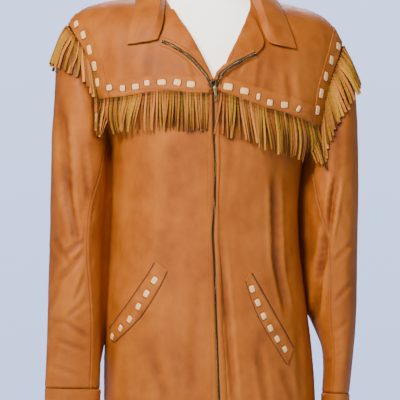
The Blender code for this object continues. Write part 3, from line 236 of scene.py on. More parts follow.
def fringe_suede():
    """Two-sided strand leather: each face says which side of the hide it is, and its tone."""
    made, tree, shader = new_material("deerskin fringe, suede and grain side")
    where = add(tree, "ShaderNodeTexCoord")
    side = add(tree, "ShaderNodeAttribute", attribute_name="grain_side")
    tone = add(tree, "ShaderNodeAttribute", attribute_name="tone")
    nap = add(tree, "ShaderNodeTexNoise", {"Scale": 260.0, "Detail": 3.0},
              {"Vector": (where, "Object")})
    mixed = add(tree, "ShaderNodeMath", {1: 0.45}, {0: (nap, "Fac"), 2: (tone, "Fac")},
                operation="MULTIPLY_ADD")
    # Both sides go from near black, painted shade on cut edges and under the band, to the pale nap
    # or grain.
    flesh = ramp(tree, mixed, 0, ((0.0, "#150B03"), (0.26, "#4C2E08"), (0.60, "#8E5C12"),
                                  (1.0, "#B98528")))
    grain = ramp(tree, mixed, 0, ((0.0, "#150B03"), (0.26, "#5E300A"), (0.60, "#A0591D"),
                                  (1.0, "#C6803F")))
    both = add(tree, "ShaderNodeMix", links={"Factor": (side, "Fac")}, data_type="RGBA")
    tree.links.new(flesh.outputs["Color"], both.inputs["A"])
    tree.links.new(grain.outputs["Color"], both.inputs["B"])
    tree.links.new(both.outputs["Result"], shader.inputs["Base Color"])
    bump = add(tree, "ShaderNodeBump", {"Strength": 0.5, "Distance": 0.3 * MM},
               {"Height": (nap, "Fac")})
    tree.links.new(bump.outputs["Normal"], shader.inputs["Normal"])
    shader.inputs["Roughness"].default_value = 0.82
    shader.inputs["Specular IOR Level"].default_value = 0.2
    return made


def plain_hide(name, dark, pale, scale, rough, depth):
    """A small piece of one tone: colour and bump from one noise."""
    made, tree, shader = new_material(name)
    where = add(tree, "ShaderNodeTexCoord")
    grain = add(tree, "ShaderNodeTexNoise", {"Scale": scale, "Detail": 4.0},
                {"Vector": (where, "Object")})
    colour = ramp(tree, grain, "Fac", ((0.30, dark), (0.65, pale)))
    tree.links.new(colour.outputs["Color"], shader.inputs["Base Color"])
    bump = add(tree, "ShaderNodeBump", {"Strength": 0.6, "Distance": depth},
               {"Height": (grain, "Fac")})
    tree.links.new(bump.outputs["Normal"], shader.inputs["Normal"])
    shader.inputs["Roughness"].default_value = rough
    return made


FRINGE = fringe_suede()
LACE = plain_hide("undyed hide lace, cream", "#E3AC66", "#FACB88", 300.0, 0.62, 0.25 * MM)
THREAD = plain_hide("waxed cotton thread, tan", "#7A4415", "#93581F", 900.0, 0.6, 0.1 * MM)
# Painted shade: a dark piece that stands for the shade in a slit or under a welt.
SLIT_SHADE = plain_hide("painted shade in a slit, dark tan", "#3C1E0C", "#5A3016", 500.0, 0.9, 0.1 * MM)
# Olive tape darkened to near black: painted shade of the narrow gaps that the teeth lie in.
TAPE = plain_hide("woven cotton zip tape, olive, painted dark as shade", "#211808", "#352810", 1400.0, 0.85, 0.2 * MM)
JERSEY = plain_hide("cotton jersey, off-white", "#F8F5EA", "#FFFDF4", 700.0, 0.85, 0.15 * MM)


def antique_brass():
    """Die-cast brass with a dulled, brownish lacquer, paler and glossier in random patches."""
    made, tree, shader = new_material("antique brass, lacquered")
    where = add(tree, "ShaderNodeTexCoord")
    stain = add(tree, "ShaderNodeTexNoise", {"Scale": 700.0, "Detail": 4.0},
                {"Vector": (where, "Object")})
    colour = ramp(tree, stain, "Fac", ((0.35, "#6B5A36"), (0.65, "#B8A672")))
    tree.links.new(colour.outputs["Color"], shader.inputs["Base Color"])
    gloss = ramp(tree, stain, "Fac", ((0.3, 0.46), (0.7, 0.28)))
    tree.links.new(gloss.outputs["Color"], shader.inputs["Roughness"])
    shader.inputs["Metallic"].default_value = 1.0
    return made


BRASS = antique_brass()
# The photograph's light burns the cover almost white, and a faint glow gives that here.
cover = JERSEY.node_tree.nodes["Principled BSDF"].inputs
cover["Emission Color"].default_value = linear("#FFFBF0")
cover["Emission Strength"].default_value = 1.1
print("materials:", len(bpy.data.materials))

# %% [markdown]
# ## From a solid to a sheet
# Each panel of the part is a closed wall of 1.6 mm. Its outer skin alone is what shows, so it is
# taken off as an open sheet of four-sided faces, rounded with Subdivision Surface, creased point
# by point, and given its thickness again. Neighbours share their edge points, so seams stay shut.

# %% Helpers that turn a CAD wall into a sheet
SHARP = math.radians(52)
RIM = math.radians(60)


def welded(node, dist, angle=None):
    """A CAD solid as a mesh to edit, its corners welded and its triangles paired to quads."""
    bm = bmesh.new()
    bm.from_mesh(NODES[node].data)
    bmesh.ops.remove_doubles(bm, verts=bm.verts, dist=dist)
    if angle:
        bmesh.ops.join_triangles(bm, faces=bm.faces, angle_face_threshold=angle,
                                 angle_shape_threshold=1.6)
    bm.normal_update()
    return bm


def regions_of(bm):
    """The smooth regions of a closed wall, largest first: its two skins, then its rims."""
    left, found = set(bm.faces), []
    while left:
        start = left.pop()
        group, front = [start], [start]
        while front:
            face = front.pop()
            for edge in face.edges:
                if len(edge.link_faces) == 2 and edge.calc_face_angle(9) < SHARP:
                    for other in edge.link_faces:
                        if other in left:
                            left.discard(other)
                            group.append(other)
                            front.append(other)
        found.append(group)
    return sorted(found, key=lambda g: -sum(f.calc_area() for f in g))


def outer_skin(node, centre):
    """The outer skin of a wall as quads. centre(z) gives a point inside the jacket at a height."""
    bm = welded(node, 0.02 * MM)
    skins = regions_of(bm)[:2]

    def facing(group):
        total = 0.0
        for face in group:
            middle = face.calc_center_median()
            total += face.calc_area() * face.normal.dot((middle - centre(middle.z)).normalized())
        return total

    keep = set(max(skins, key=facing))
    bmesh.ops.delete(bm, geom=[f for f in bm.faces if f not in keep], context="FACES")
    bmesh.ops.join_triangles(bm, faces=bm.faces, angle_face_threshold=1.2,
                             angle_shape_threshold=1.6)
    return bm


def linked(name, data):
    """A new object in the scene."""
    made = bpy.data.objects.new(name, data)
    bpy.context.scene.collection.objects.link(made)
    return made


def object_from(bm, name, look):
    """A smooth object of one look from an edited mesh."""
    mesh = bpy.data.meshes.new(name)
    bm.to_mesh(mesh)
    bm.free()
    mesh.materials.append(look)
    mesh.shade_smooth()
    return linked(name, mesh)


def set_relief(mesh, values):
    """Tells the deerskin how high each point lies: it paints shade into low points, highlight onto
    high ones.
    """
    layer = mesh.attributes.new("relief", "FLOAT", "POINT")
    layer.data.foreach_set("value", values)


def area_of(piece):
    return round(sum(face.area for face in piece.data.polygons), 5)


def alone(piece):
    """Selects one piece and nothing else, as every operator needs."""
    bpy.ops.object.select_all(action="DESELECT")
    piece.select_set(True)
    bpy.context.view_layer.objects.active = piece


def apply(piece, kind, **settings):
    """Adds a modifier with its settings and applies it."""
    alone(piece)
    modifier = piece.modifiers.new(kind.lower(), kind)
    for key, value in settings.items():
        setattr(modifier, key, value)
    bpy.ops.object.modifier_apply(modifier=modifier.name)


def rounded(piece, levels, kind="CATMULL_CLARK"):
    """Rounds a piece and keeps the corners of its outline."""
    apply(piece, "SUBSURF", levels=levels, render_levels=levels, subdivision_type=kind,
          boundary_smooth="PRESERVE_CORNERS")


def tree_from(*pieces):
    """One search tree over the faces of some pieces."""
    points, faces = [], []
    for piece in pieces:
        start = len(points)
        points += [v.co.copy() for v in piece.data.vertices]
        faces += [[start + i for i in p.vertices] for p in piece.data.polygons]
    return BVHTree.FromPolygons(points, faces)


# %% [markdown]
# ## Creases
# Worn leather keeps the bends of the body in it. Each crease is a soft trough along a line that
# was read off the photograph, with a low ridge on either side. Between them the skin is a little
# uneven everywhere. Near a seam the sheet is drawn in, because the stitches pull it down.

# %% Where the creases run
# Columns: two ends as pixels of the photograph, half width and depth in mm.
FRONT_CREASES = (
    (276, 190, 278, 262, 8, 5.6), (278, 258, 287, 304, 7, 4.4), (221, 262, 232, 384, 6.5, 5.0),
    (258, 352, 266, 402, 8, 2.4), (284, 372, 296, 402, 8, 1.6), (172, 150, 166, 262, 13, 1.0),
    (150, 345, 166, 402, 11, 1.2), (120, 152, 117, 240, 10, 1.5), (196, 300, 190, 392, 9, 1.0),
    (262, 62, 258, 86, 6, 1.6), (290, 75, 293, 106, 8, 2.0), (190, 60, 195, 80, 5, 1.4),
    (152, 48, 146, 78, 8, 1.4), (118, 346, 112, 396, 8, 1.6), (300, 330, 304, 398, 7, 1.2),
    (110, 36, 113, 78, 10, 1.2), (232, 140, 226, 190, 9, 1.2), (243, 62, 236, 74, 4, 1.6),
)
LEFT_SLEEVE_CREASES = (
    (63.8, 116, 68, 200, 8, 4.6), (68, 196, 75, 238, 7, 3.6), (84, 241, 66, 252, 5, 3.0),
    (84, 252, 62, 276, 6, 3.2), (90, 262, 76, 296, 5, 2.2), (56, 240, 68, 262, 5, 2.0),
    (71, 326, 92, 338, 5, 2.2), (60, 340, 86, 350, 5, 2.0), (52, 318, 70, 324, 5, 1.6),
    (88, 298, 70, 314, 5, 2.0), (82, 150, 88, 196, 6, 1.9), (54, 366, 78, 374, 5, 1.5),
    (94, 200, 84, 244, 5, 1.8), (60, 282, 52, 306, 5, 1.4),
)
RIGHT_SLEEVE_CREASES = (
    (334, 186, 326, 236, 6.5, 9.0), (326, 234, 320.5, 276, 5.5, 9.0),
    (320.5, 272, 318, 316, 5, 6.5), (350, 244, 332, 262, 5, 1.8), (350, 284, 334, 300, 5, 1.6),
    (346, 322, 330, 334, 5, 1.6), (338, 118, 336, 186, 8, 1.6), (342, 352, 330, 362, 4, 1.4),
    (314, 186, 322, 226, 6, 1.8),
)
# The sides that the photograph doesn't show: the same kind of creases, as x and z in metres.
BACK_CREASES = (
    (-0.120, 0.590, -0.100, 0.330, 9, 3.0), (0.118, 0.560, 0.096, 0.300, 9, 3.2),
    (-0.040, 0.360, -0.060, 0.080, 9, 2.2), (0.048, 0.340, 0.074, 0.070, 9, 2.4),
    (-0.150, 0.300, -0.130, 0.080, 8, 1.8), (0.150, 0.280, 0.140, 0.080, 8, 1.6),
    (-0.010, 0.560, 0.004, 0.400, 10, 1.2), (0.060, 0.740, 0.050, 0.670, 8, 1.2),
    (-0.080, 0.750, -0.070, 0.660, 8, 1.2), (-0.262, 0.560, -0.250, 0.420, 8, 2.6),
    (-0.220, 0.400, -0.272, 0.370, 6, 3.2), (-0.216, 0.350, -0.268, 0.318, 6, 2.8),
    (-0.225, 0.290, -0.270, 0.262, 5, 2.0), (0.258, 0.540, 0.244, 0.400, 8, 2.6),
    (0.210, 0.372, 0.262, 0.344, 6, 3.2), (0.212, 0.318, 0.258, 0.290, 6, 2.6),
    (0.218, 0.246, 0.252, 0.226, 5, 2.0), (-0.232, 0.200, -0.276, 0.186, 5, 1.6),
)


def from_pixels(rows, y):
    """Crease rows in pixels as rows in metres, on the upright plane at depth y."""
    return [(*at(a, b, y), *at(c, d, y), w, h) for a, b, c, d, w, h in rows]


CREASES = {
    "trunk": from_pixels(FRONT_CREASES, -0.135),
    "sleeve_left": from_pixels(LEFT_SLEEVE_CREASES, -0.07),
    "sleeve_right": from_pixels(RIGHT_SLEEVE_CREASES, -0.07),
    "back": list(BACK_CREASES),
}
print("creases:", {part: len(rows) for part, rows in CREASES.items()})


def smooth(value):
    """An eased step from 0 to 1."""
    value = min(max(value, 0.0), 1.0)
    return value * value * (3 - 2 * value)


# How far a crease and its two ridges reach, in half widths of the crease.
REACH = 3.4


def crease_depth(rows, x, z):
    """How far the creases of a table press the leather in at x, z, in metres."""
    depth = 0.0
    for x0, z0, x1, z1, half, deep in rows:
        dx, dz = x1 - x0, z1 - z0
        long = math.hypot(dx, dz)
        u = ((x - x0) * dx + (z - z0) * dz) / (long * long)
        if not -0.3 < u < 1.3:
            continue
        off = ((x - x0) * dz - (z - z0) * dx) / long
        off += 0.10 * half * MM * math.sin(40 * u + 300 * half * x0)
        ends = smooth((u + 0.3) / 0.45) * smooth((1.3 - u) / 0.45)
        r = abs(off) / (half * MM)
        if r < REACH:
            trough = math.exp(-(r * 1.25) ** 2)
            ridge = 0.42 * math.exp(-((r - 1.75) * 1.5) ** 2)
            depth += deep * MM * ends * (trough - ridge)
    return depth


def unevenness(p):
    """Low, soft swellings of the hide, with slack wrinkles that run mostly up and down."""
    broad = noise.noise(Vector((p.x * 16, p.y * 16, p.z * 9)))
    slack = noise.noise(Vector((p.x * 55 + 7, p.y * 55, p.z * 24)))
    fine = noise.noise(Vector((p.x * 130, p.y * 130 + 3, p.z * 80)))
    return (broad * 1.7 + slack * 0.45 + fine * 0.16) * MM


# %% [markdown]
# ## The panels
# Back, fronts, yokes and two-piece sleeves. The edge of every sheet gets a narrow border row
# that dips by a millimetre, so two sheets meet in the soft valley of a real seam.

# %% Helpers that crease a sheet
TRUNK = ("back", "yoke_back", "front_left", "front_right", "yoke_front_left", "yoke_front_right")
SLEEVES = tuple("sleeve_%s_%s" % (p, s) for p in ("top", "under") for s in SIDES)
CUFFS = ("cuff_left", "cuff_right")
LEATHER = 1.6 * MM
SEAM_DIP = 1.0 * MM
BORDER = 3.2 * MM
# Creases grow to their full depth this far from a seam, and puckers end this far from it.
CREASE_START, PUCKER_END = 16 * MM, 18 * MM
SLEEVE_AXIS = {"left": Vector((-0.238, -0.010, 0)), "right": Vector((0.236, -0.010, 0))}


def side_of(node):
    """left or right, from a node's name."""
    return "left" if node.endswith("left") else "right"


def inner_point(node):
    """For a node, the point that lies inside its tube at each height."""
    if node in TRUNK:
        return lambda z: Vector((0, 0, min(z, 0.70)))
    axis = SLEEVE_AXIS[side_of(node)]
    return lambda z: Vector((axis.x, axis.y, z - 0.02))


# Heights and how far in, in mm, the back of each sleeve lies against the body.
TUCK = {
    "sleeve_left": ((0.118, 0.0), (0.15, 34.0), (0.30, 40.0), (0.50, 34.0), (0.56, 16.0),
                    (0.60, 0.0)),
    "sleeve_right": ((0.19, 0.0), (0.25, 14.0), (0.31, 25.0), (0.46, 25.0), (0.52, 14.0),
                     (0.56, 0.0)),
}


def tuck(p, table):
    """The sleeve's inner back side is pushed towards the body, where the arm hangs against it."""
    inner = smooth((0.236 - abs(p.x)) / 0.034)
    deep = smooth((p.y + 0.035) / 0.06)
    return between(table, p.z) * MM * inner * deep


def crease_sheet(piece, node):
    """Moves each point of a sheet by the creases, its unevenness and the pull of the seams."""
    mesh = piece.data
    bm = bmesh.new()
    bm.from_mesh(mesh)
    bmesh.ops.inset_region(bm, faces=bm.faces, thickness=BORDER, use_even_offset=True)
    bm.normal_update()
    edge_points = [v for v in bm.verts if v.is_boundary]
    border = KDTree(len(edge_points))
    for i, v in enumerate(edge_points):
        border.insert(v.co, i)
    border.balance()
    key = "trunk" if node in TRUNK else "sleeve_" + side_of(node)
    if key in TUCK:
        for v in bm.verts:
            v.co.x -= math.copysign(tuck(v.co, TUCK[key]), v.co.x)
        bm.normal_update()
    relief = {}
    moves = []
    for v in bm.verts:
        gap = border.find(v.co)[2]
        front = smooth((0.25 - v.normal.y) / 0.5)
        depth = front * crease_depth(CREASES[key], v.co.x, v.co.z)
        if front < 0.999:
            depth += (1 - front) * crease_depth(CREASES["back"], v.co.x, v.co.z)
        lift = unevenness(v.co) - depth
        lift *= smooth(gap / CREASE_START)
        pucker = noise.noise(Vector((v.co.x * 20, v.co.y * 20, v.co.z * 150)))
        pucker *= smooth(gap / (3 * MM)) * smooth((PUCKER_END - gap) / (14 * MM))
        lift += 0.75 * MM * pucker
        lift -= SEAM_DIP * smooth(1 - gap / (BORDER * 1.02))
        moves.append((v, v.normal.copy(), lift))
        # This relief makes the material paint shade in creases and seams, and highlight on ridges.
        relief[v.index] = max(-1.0, min(1.0, lift / (2.0 * MM)))
    for v, normal, lift in moves:
        v.co += normal * lift
    bm.to_mesh(mesh)
    bm.free()
    set_relief(mesh, [relief[i] for i in range(len(mesh.vertices))])
    mesh.shade_smooth()


def build_sheet(node):
    """A creased sheet of leather from the wall of one node."""
    bm = outer_skin(node, inner_point(node))
    sheet = object_from(bm, "leather_" + node, DEERSKIN)
    rounded(sheet, 3)
    crease_sheet(sheet, node)
    print(node, "points", len(sheet.data.vertices), "area", area_of(sheet))
    return sheet


# %% Cut and crease each panel
skins = {node: build_sheet(node) for node in TRUNK + SLEEVES}

TRUNK_TREE = tree_from(*[skins[n] for n in TRUNK])
SHELL_TREE = tree_from(*skins.values())

# %% [markdown]
# ## Cuffs
# Each cuff is a turned band, closed all round. Its two skins are one loop each, so the sheet has
# no end, only a top and a bottom edge.

# %% Build the cuffs
skins.update({node: build_sheet(node) for node in CUFFS})

# %% [markdown]
# ## Collar and turned-out fronts
# The collar's stand and fall, and the two facings, bend sharply, so here the whole wall is kept
# and rounded. Its rims are creased, so the leather keeps its cut edge. Worn leather sags: on the
# wearer's right the collar point and the band ends lie lower than they were cut, so a small
# table tells how far each place has settled, and the points are slid down the leather.

# %% How far the leather has sagged
# Pixels across the photograph, and how many pixels lower the leather lies there.
BAND_SAG = ((98, 8.5), (112, 7.0), (125, 6.0), (137, 4.5), (150, 1.4), (165, 0.4), (180, 0.6),
            (192, 2.0), (211, 2.0), (217, 0.0), (232, 0.0), (244, 1.5), (258, 3.5), (270, 5.2),
            (285, 4.6), (300, 5.5), (318, 8.0))
COLLAR_SAG = ((136, 7.5), (165, 5.0), (185, 0.0), (215, 0.0), (225, 2.0), (236, 3.5),
              (254, 3.2), (264, 0.0), (280, -1.5), (296, -3.5))
# Points that would drop by less than this stay where they are.
LEAST_DROP = 0.1 * MM
# The yokes' seam is level left of the zip and falls to the right of it: column, rows and fall.
ZIP_COLUMN, LEFT_SEAM_ROW, RIGHT_SEAM_ROW, SEAM_FALL = 214, 91.3, 92.0, 0.257


def seam_row(px):
    """The pixel row of the seam that the front bands cover."""
    if px < ZIP_COLUMN:
        return LEFT_SEAM_ROW
    return RIGHT_SEAM_ROW + (px - ZIP_COLUMN) * SEAM_FALL


def slide(p, tree, drop):
    """A point slid down over a surface by a drop, at its own height above the surface."""
    if abs(drop) <= LEAST_DROP:
        return p
    near, normal, _, _ = tree.find_nearest(p)
    high = (p - near).dot(normal)
    near, normal, _, _ = tree.find_nearest(p - Vector((0, 0, drop)))
    return near + normal * high


def settle_band(p):
    """Where a point of a front band lies once the leather has sagged."""
    if p.y > -0.03:
        return p
    px, py = pixel_of(p)
    # The sag grows from nothing, 33 pixels above the seam, to all of it 9 pixels above.
    share = smooth((py - seam_row(px) + 33) / 24)
    return slide(p, TRUNK_TREE, between(BAND_SAG, px) * share * PIXEL)


def settle_collar(p):
    """Where a point of the collar or a facing lies once the leather has sagged."""
    px, py = pixel_of(p)
    # None at the neck and at the back, all of it 22 pixels lower and 30 mm further forward.
    share = smooth((py - 6) / 22) * smooth((-0.045 - p.y) / 0.03)
    return slide(p, TRUNK_TREE, between(COLLAR_SAG, px) * share * PIXEL)


def hold_rims(bm, firm):
    """Creases the sharp edges of a wall, so that rounding leaves them."""
    layer = bm.edges.layers.float.new("crease_edge")
    for edge in bm.edges:
        if edge.calc_face_angle(0) > RIM:
            edge[layer] = firm


def rounded_wall(node, levels):
    """A closed wall rounded with its rims held, and its surface made a little uneven."""
    bm = welded(node, 0.02 * MM, 0.9)
    hold_rims(bm, 0.85)
    piece = object_from(bm, "leather_" + node, DEERSKIN)
    rounded(piece, levels)
    values = []
    for v in piece.data.vertices:
        low = noise.noise(v.co * 45)
        v.co = settle_collar(v.co) + Vector((0, -0.45, 0.2)) * low * MM
        values.append(low * 0.8)
    set_relief(piece.data, values)
    return piece


# %% Round the collar and the facings
walls = {n: rounded_wall(n, 3) for n in ("collar", "facing_left", "facing_right")}
print("collar and facings:", {n: len(w.data.vertices) for n, w in walls.items()})

# %% [markdown]
# ## Bands and pocket welts
# The bands along the yokes and the pocket welts are strips sewn on top, laced through slits. In
# the part each lace stitch of a band is a raised cell. Those cells tell where a hidden stitch
# goes, and the strip is laid on its creased panel point by point.

# %% Helpers that lay a strip on the leather
BANDS = ("band_front_left", "band_front_right", "band_armhole_left", "band_armhole_right",
         "band_back")
WELTS = ("pocket_welt_left", "pocket_welt_right")
STRIP_THICK = 1.2 * MM
STRIP_GAP = 0.35 * MM  # between the leather and the strip's underside


def strip_skin(node):
    """The strip's outer skin with its raised cells filled in, and the cells' places."""
    bm = outer_skin(node, inner_point("back"))
    filled = bmesh.ops.holes_fill(bm, edges=[e for e in bm.edges if e.is_boundary], sides=4)
    spots = []
    for face in filled["faces"]:
        corners = [v.co.copy() for v in face.verts]
        edges = sorted(((corners[(i + 1) % 4] - corners[i]) for i in range(4)),
                       key=lambda e: -e.length)
        spots.append((face.calc_center_median(), edges[0].normalized()))
    bmesh.ops.recalc_face_normals(bm, faces=bm.faces)
    return bm, spots


def lay_on(piece, tree, height, ripple=0.0):
    """Moves each point of a strip onto the leather under it, at a height above it."""
    for v in piece.data.vertices:
        near, normal, _, _ = tree.find_nearest(v.co)
        wave = ripple * noise.noise(v.co * 60)
        v.co = near + normal * (height + wave)


# Outline of each welt in pixels: a point on its opening, then the point across from it.
WELT_ROWS = {
    "pocket_welt_left": (
        (156.0, 262.0, 167.5, 271.0), (148.0, 275.5, 159.4, 287.6), (138.5, 289.5, 150.6, 302.6),
        (128.5, 304.0, 140.6, 317.2), (118.5, 317.6, 128.0, 330.0), (110.0, 329.5, 114.0, 343.0)),
    "pocket_welt_right": (
        (250.5, 272.5, 245.5, 279.5), (260.0, 289.0, 251.6, 299.5), (268.8, 305.0, 258.6, 317.0),
        (277.5, 320.5, 267.4, 333.0), (286.0, 335.5, 277.0, 348.6), (293.6, 349.0, 287.6, 365.0)),
}


# Beside the zip, anything seen farther back than this is the inside of the jacket.
ZIP_ZONE, BEHIND_FRONT, FRONT_Y = 0.04, -0.12, -0.15


def on_front(tree, px, py, high=0.0):
    """A point a little proud of the front of the jacket, at a pixel of the photograph."""
    near, normal = hit(tree, px, py)
    # A line of sight that slips between the two fronts is laid on the nearer edge.
    slipped = near is None or near.y > 0 or (abs(near.x) < ZIP_ZONE and near.y > BEHIND_FRONT)
    if slipped:
        x, z = at(px, py, FRONT_Y)
        near, normal, _, _ = tree.find_nearest(Vector((x, FRONT_Y, z)))
        x, z = at(px, py, near.y)
        near, normal, _, _ = tree.find_nearest(Vector((x, near.y, z)))
        near = Vector((x, near.y, z))
    return near + normal * high


def patch(rows, across, name, look, tree, height):
    """A sheet through rows of (left pixel, right pixel), with a height for each column."""
    bm = bmesh.new()
    made = []
    for i, (ax, ay, bx, by) in enumerate(rows):
        line = []
        for j in range(across):
            t = j / (across - 1)
            px, py = ax + (bx - ax) * t, ay + (by - ay) * t
            line.append(bm.verts.new(on_front(tree, px, py, height(i, t))))
        made.append(line)
    for a, b in zip(made, made[1:]):
        for j in range(across - 1):
            bm.faces.new((a[j], a[j + 1], b[j + 1], b[j]))
    bmesh.ops.recalc_face_normals(bm, faces=bm.faces)
    if sum(f.normal.y for f in bm.faces) > 0:
        bmesh.ops.reverse_faces(bm, faces=bm.faces)
    return object_from(bm, name, look)


def finer(rows, parts):
    """The rows with others put evenly between them."""
    out = []
    for a, b in zip(rows, rows[1:]):
        out += [tuple(p + (q - p) * k / parts for p, q in zip(a, b)) for k in range(parts)]
    return out + [rows[-1]]


def ribbon_rows(line, low, high):
    """Rows across a line of pixels, from low to high pixels off it, square to its run."""
    rows = []
    line = finer(line, 5)
    for i, (x, y) in enumerate(line):
        x0, y0 = line[max(i - 1, 0)]
        x1, y1 = line[min(i + 1, len(line) - 1)]
        long = math.hypot(x1 - x0, y1 - y0)
        nx, ny = -(y1 - y0) / long, (x1 - x0) / long
        rows.append((x + nx * low, y + ny * low, x + nx * high, y + ny * high))
    return rows


# %% [markdown]
# ## Pocket mouths and welts
# A slanted slit opens each pocket, and a folded strip of leather is sewn along it. Each strip is
# a sheet through rows read off the photograph. Two thin dark strips are painted shade: one in the
# slit, one along the welt's other edge, below it.

# %% Lay the strips on the leather
strips, lace_spots, shade_strips = {}, {}, {}
for node in WELTS:
    # Painted shade: a dark line along the welt's opening edge, and a thin one below it.
    for k, (edge, low, high) in enumerate(((0, -1.5, 0.6), (2, -0.5, 0.7))):
        if node.endswith("left"):
            low, high = -high, -low
        line = [(row[edge], row[edge + 1]) for row in WELT_ROWS[node]]
        line[0], line[-1] = [tuple(p + (q - p) * 0.06 for p, q in zip(*ends))
                             for ends in ((line[0], line[1]), (line[-1], line[-2]))]
        shade_strips[node, k] = patch(ribbon_rows(line, low, high), 3, "mouth_%s_%d" % (node, k), SLIT_SHADE,
                                TRUNK_TREE, lambda i, t: 0.5 * MM)
for node in WELTS:
    piece = patch(finer(WELT_ROWS[node], 3), 5, "leather_" + node, BAND_LEATHER, TRUNK_TREE,
                  lambda i, t: 0.0)
    rounded(piece, 2)
    lay_on(piece, TRUNK_TREE, STRIP_GAP + STRIP_THICK, 0.3 * MM)
    set_relief(piece.data, [noise.noise(v.co * 70) for v in piece.data.vertices])
    strips[node], lace_spots[node] = piece, []
    print(node, "area", area_of(piece))
print("mouths:", len(shade_strips), "welts:", len(strips))

# %% [markdown]
# ## Laced bands
# A band of thicker hide covers each seam that the fringe hangs from, so the wear shows on it
# first. Each band comes from its CAD wall, settles with the sagged yoke and is laid on it.

# %% Lay the bands
for node in BANDS:
    bm, spots = strip_skin(node)
    piece = object_from(bm, "leather_" + node, BAND_LEATHER)
    rounded(piece, 3, "SIMPLE")
    for v in piece.data.vertices:
        v.co = settle_band(v.co)
    lay_on(piece, TRUNK_TREE, STRIP_GAP + STRIP_THICK, 0.35 * MM)
    set_relief(piece.data, [noise.noise(v.co * 70) * 0.8 for v in piece.data.vertices])
    strips[node], lace_spots[node] = piece, spots
    print(node, "stitches", len(spots), "area", area_of(piece))

STRIP_TREE = tree_from(*strips.values())

# %% [markdown]
# ## Lace
# One stitch of lace is a flat cream thong that comes up through a slit, lies on the band and
# goes down through the next. It is modelled once as a low crowned block and copied.

# %% Model one lace stitch


def model_stitch():
    """A crowned, soft-cornered block, 1 m long, wide and high, to be scaled for each stitch."""
    bpy.ops.object.select_all(action="DESELECT")
    bpy.ops.mesh.primitive_cube_add(size=1.0)
    made = bpy.context.active_object
    made.name = "lace_master"
    bpy.ops.object.mode_set(mode="EDIT")
    bpy.ops.mesh.select_all(action="SELECT")
    bpy.ops.mesh.subdivide(number_cuts=3)
    bpy.ops.object.mode_set(mode="OBJECT")
    # The ends dip under the slits, and the corners are drawn in a little.
    for v in made.data.vertices:
        x, y, z = v.co
        crown = 1 - 0.50 * (2 * abs(x)) ** 3
        v.co.z = z * crown if z > 0 else z
        v.co.y = y * (1 - 0.07 * (2 * abs(x)) ** 4)
        v.co.x = x * (1 - 0.05 * (2 * abs(y)) ** 4)
    rounded(made, 1)
    return made


def copies(model, matrices, name, look):
    """One object holding the model at every place."""
    points = [v.co.copy() for v in model.data.vertices]
    sides = [tuple(q.vertices) for q in model.data.polygons]
    verts, faces = [], []
    for matrix in matrices:
        start = len(verts)
        verts += [matrix @ p for p in points]
        faces += [tuple(start + k for k in side) for side in sides]
    mesh = bpy.data.meshes.new(name)
    mesh.from_pydata(verts, [], faces)
    mesh.polygons.foreach_set("use_smooth", [True] * len(faces))
    mesh.materials.append(look)
    return linked(name, mesh)


def frame_at(spot, along, normal, size):
    """A matrix that puts x along, z out of the surface, at a size."""
    normal = normal.normalized()
    along = (along - normal * along.dot(normal)).normalized()
    across = normal.cross(along)
    turn = Matrix((along, across, normal)).transposed().to_4x4()
    return Matrix.Translation(spot) @ turn @ Matrix.Diagonal((*size, 1.0))


# %% [markdown]
# ## Where the laces lie
# Lace was drawn through by hand, so in front each stitch has its own length and slant. Those were
# read off the photograph one by one, and the hidden ones follow the raised cells of the part.

# %% Set out the laces
# Front stitches, read off the photograph: pixel across and down, turn in degrees, and the
# stitch's length and width in pixels. No two are alike, because the lace was drawn by hand.
FRONT_LACES = {
    "band_front_left": (
        (109.1, 87.6, 6, 6.9, 5.7), (122.4, 88.3, 0, 6.0, 5.8), (135.5, 86.7, 4, 7.2, 5.7),
        (146.9, 83.0, 6, 5.5, 5.4), (161.6, 82.3, 2, 8.4, 5.4), (177.3, 82.3, -12, 7.2, 5.9),
        (190.8, 84.2, -4, 8.1, 6.0)),
    "band_front_right": (
        (228.1, 86.7, -7, 9.2, 6.6), (244.4, 91.1, -9, 8.7, 6.2), (258.3, 96.7, -10, 4.0, 6.2),
        (269.9, 102.6, -8, 6.2, 5.9), (284.4, 104.8, -4, 8.0, 6.0), (298.5, 108.7, -28, 4.4, 6.2)),
    "band_armhole_left": (
        (76.2, 23.8, -56, 7.6, 5.6), (83.2, 34.8, -60, 8.2, 5.4), (89.4, 49.6, -68, 9.6, 5.4),
        (94.4, 66.0, -74, 9.8, 5.6), (97.4, 82.4, -82, 8.4, 4.8), (97.6, 95.0, 18, 8.0, 5.2)),
    "band_armhole_right": (
        (338.4, 46.3, 56, 8.0, 5.8), (331.6, 60.2, 62, 9.4, 5.8), (326.0, 76.3, 68, 9.2, 5.6),
        (321.4, 93.4, 72, 9.8, 5.6), (317.6, 110.2, 76, 9.4, 5.4), (312.4, 124.8, -32, 6.6, 5.4)),
    "pocket_welt_left": (
        (154.3, 280.4, 52, 7.2, 5.4), (146.4, 293.7, 56, 7.4, 5.4), (138.4, 306.5, 55, 7.0, 5.2),
        (129.5, 319.3, 50, 7.2, 5.2), (120.5, 328.2, 42, 7.0, 5.0), (112.2, 336.5, 44, 7.0, 5.0)),
    "pocket_welt_right": (
        (252.0, 288.9, -68, 7.0, 5.2), (257.7, 302.7, -64, 7.4, 5.2),
        (263.5, 316.1, -62, 7.0, 5.0), (270.2, 328.2, -60, 7.2, 5.2),
        (277.2, 339.0, -56, 7.0, 5.0), (284.8, 349.2, -50, 6.6, 5.0)),
}
LACE_HIGH = 3.2 * MM
LACE_LONG, LACE_WIDE = 14.6 * MM, 10.2 * MM
LACE_SINK = 0.15 * MM
# The dark slit beyond each end of a stitch, a piece painted as shade: how far on, its length and
# height, and its width as a share of the stitch's.
SLIT_ON, SLIT_LONG, SLIT_HIGH, SLIT_WIDE = 0.4 * MM, 1.9 * MM, 0.55 * MM, 1.08
rng = random.Random(5)
stitch_master = model_stitch()
laces = {}


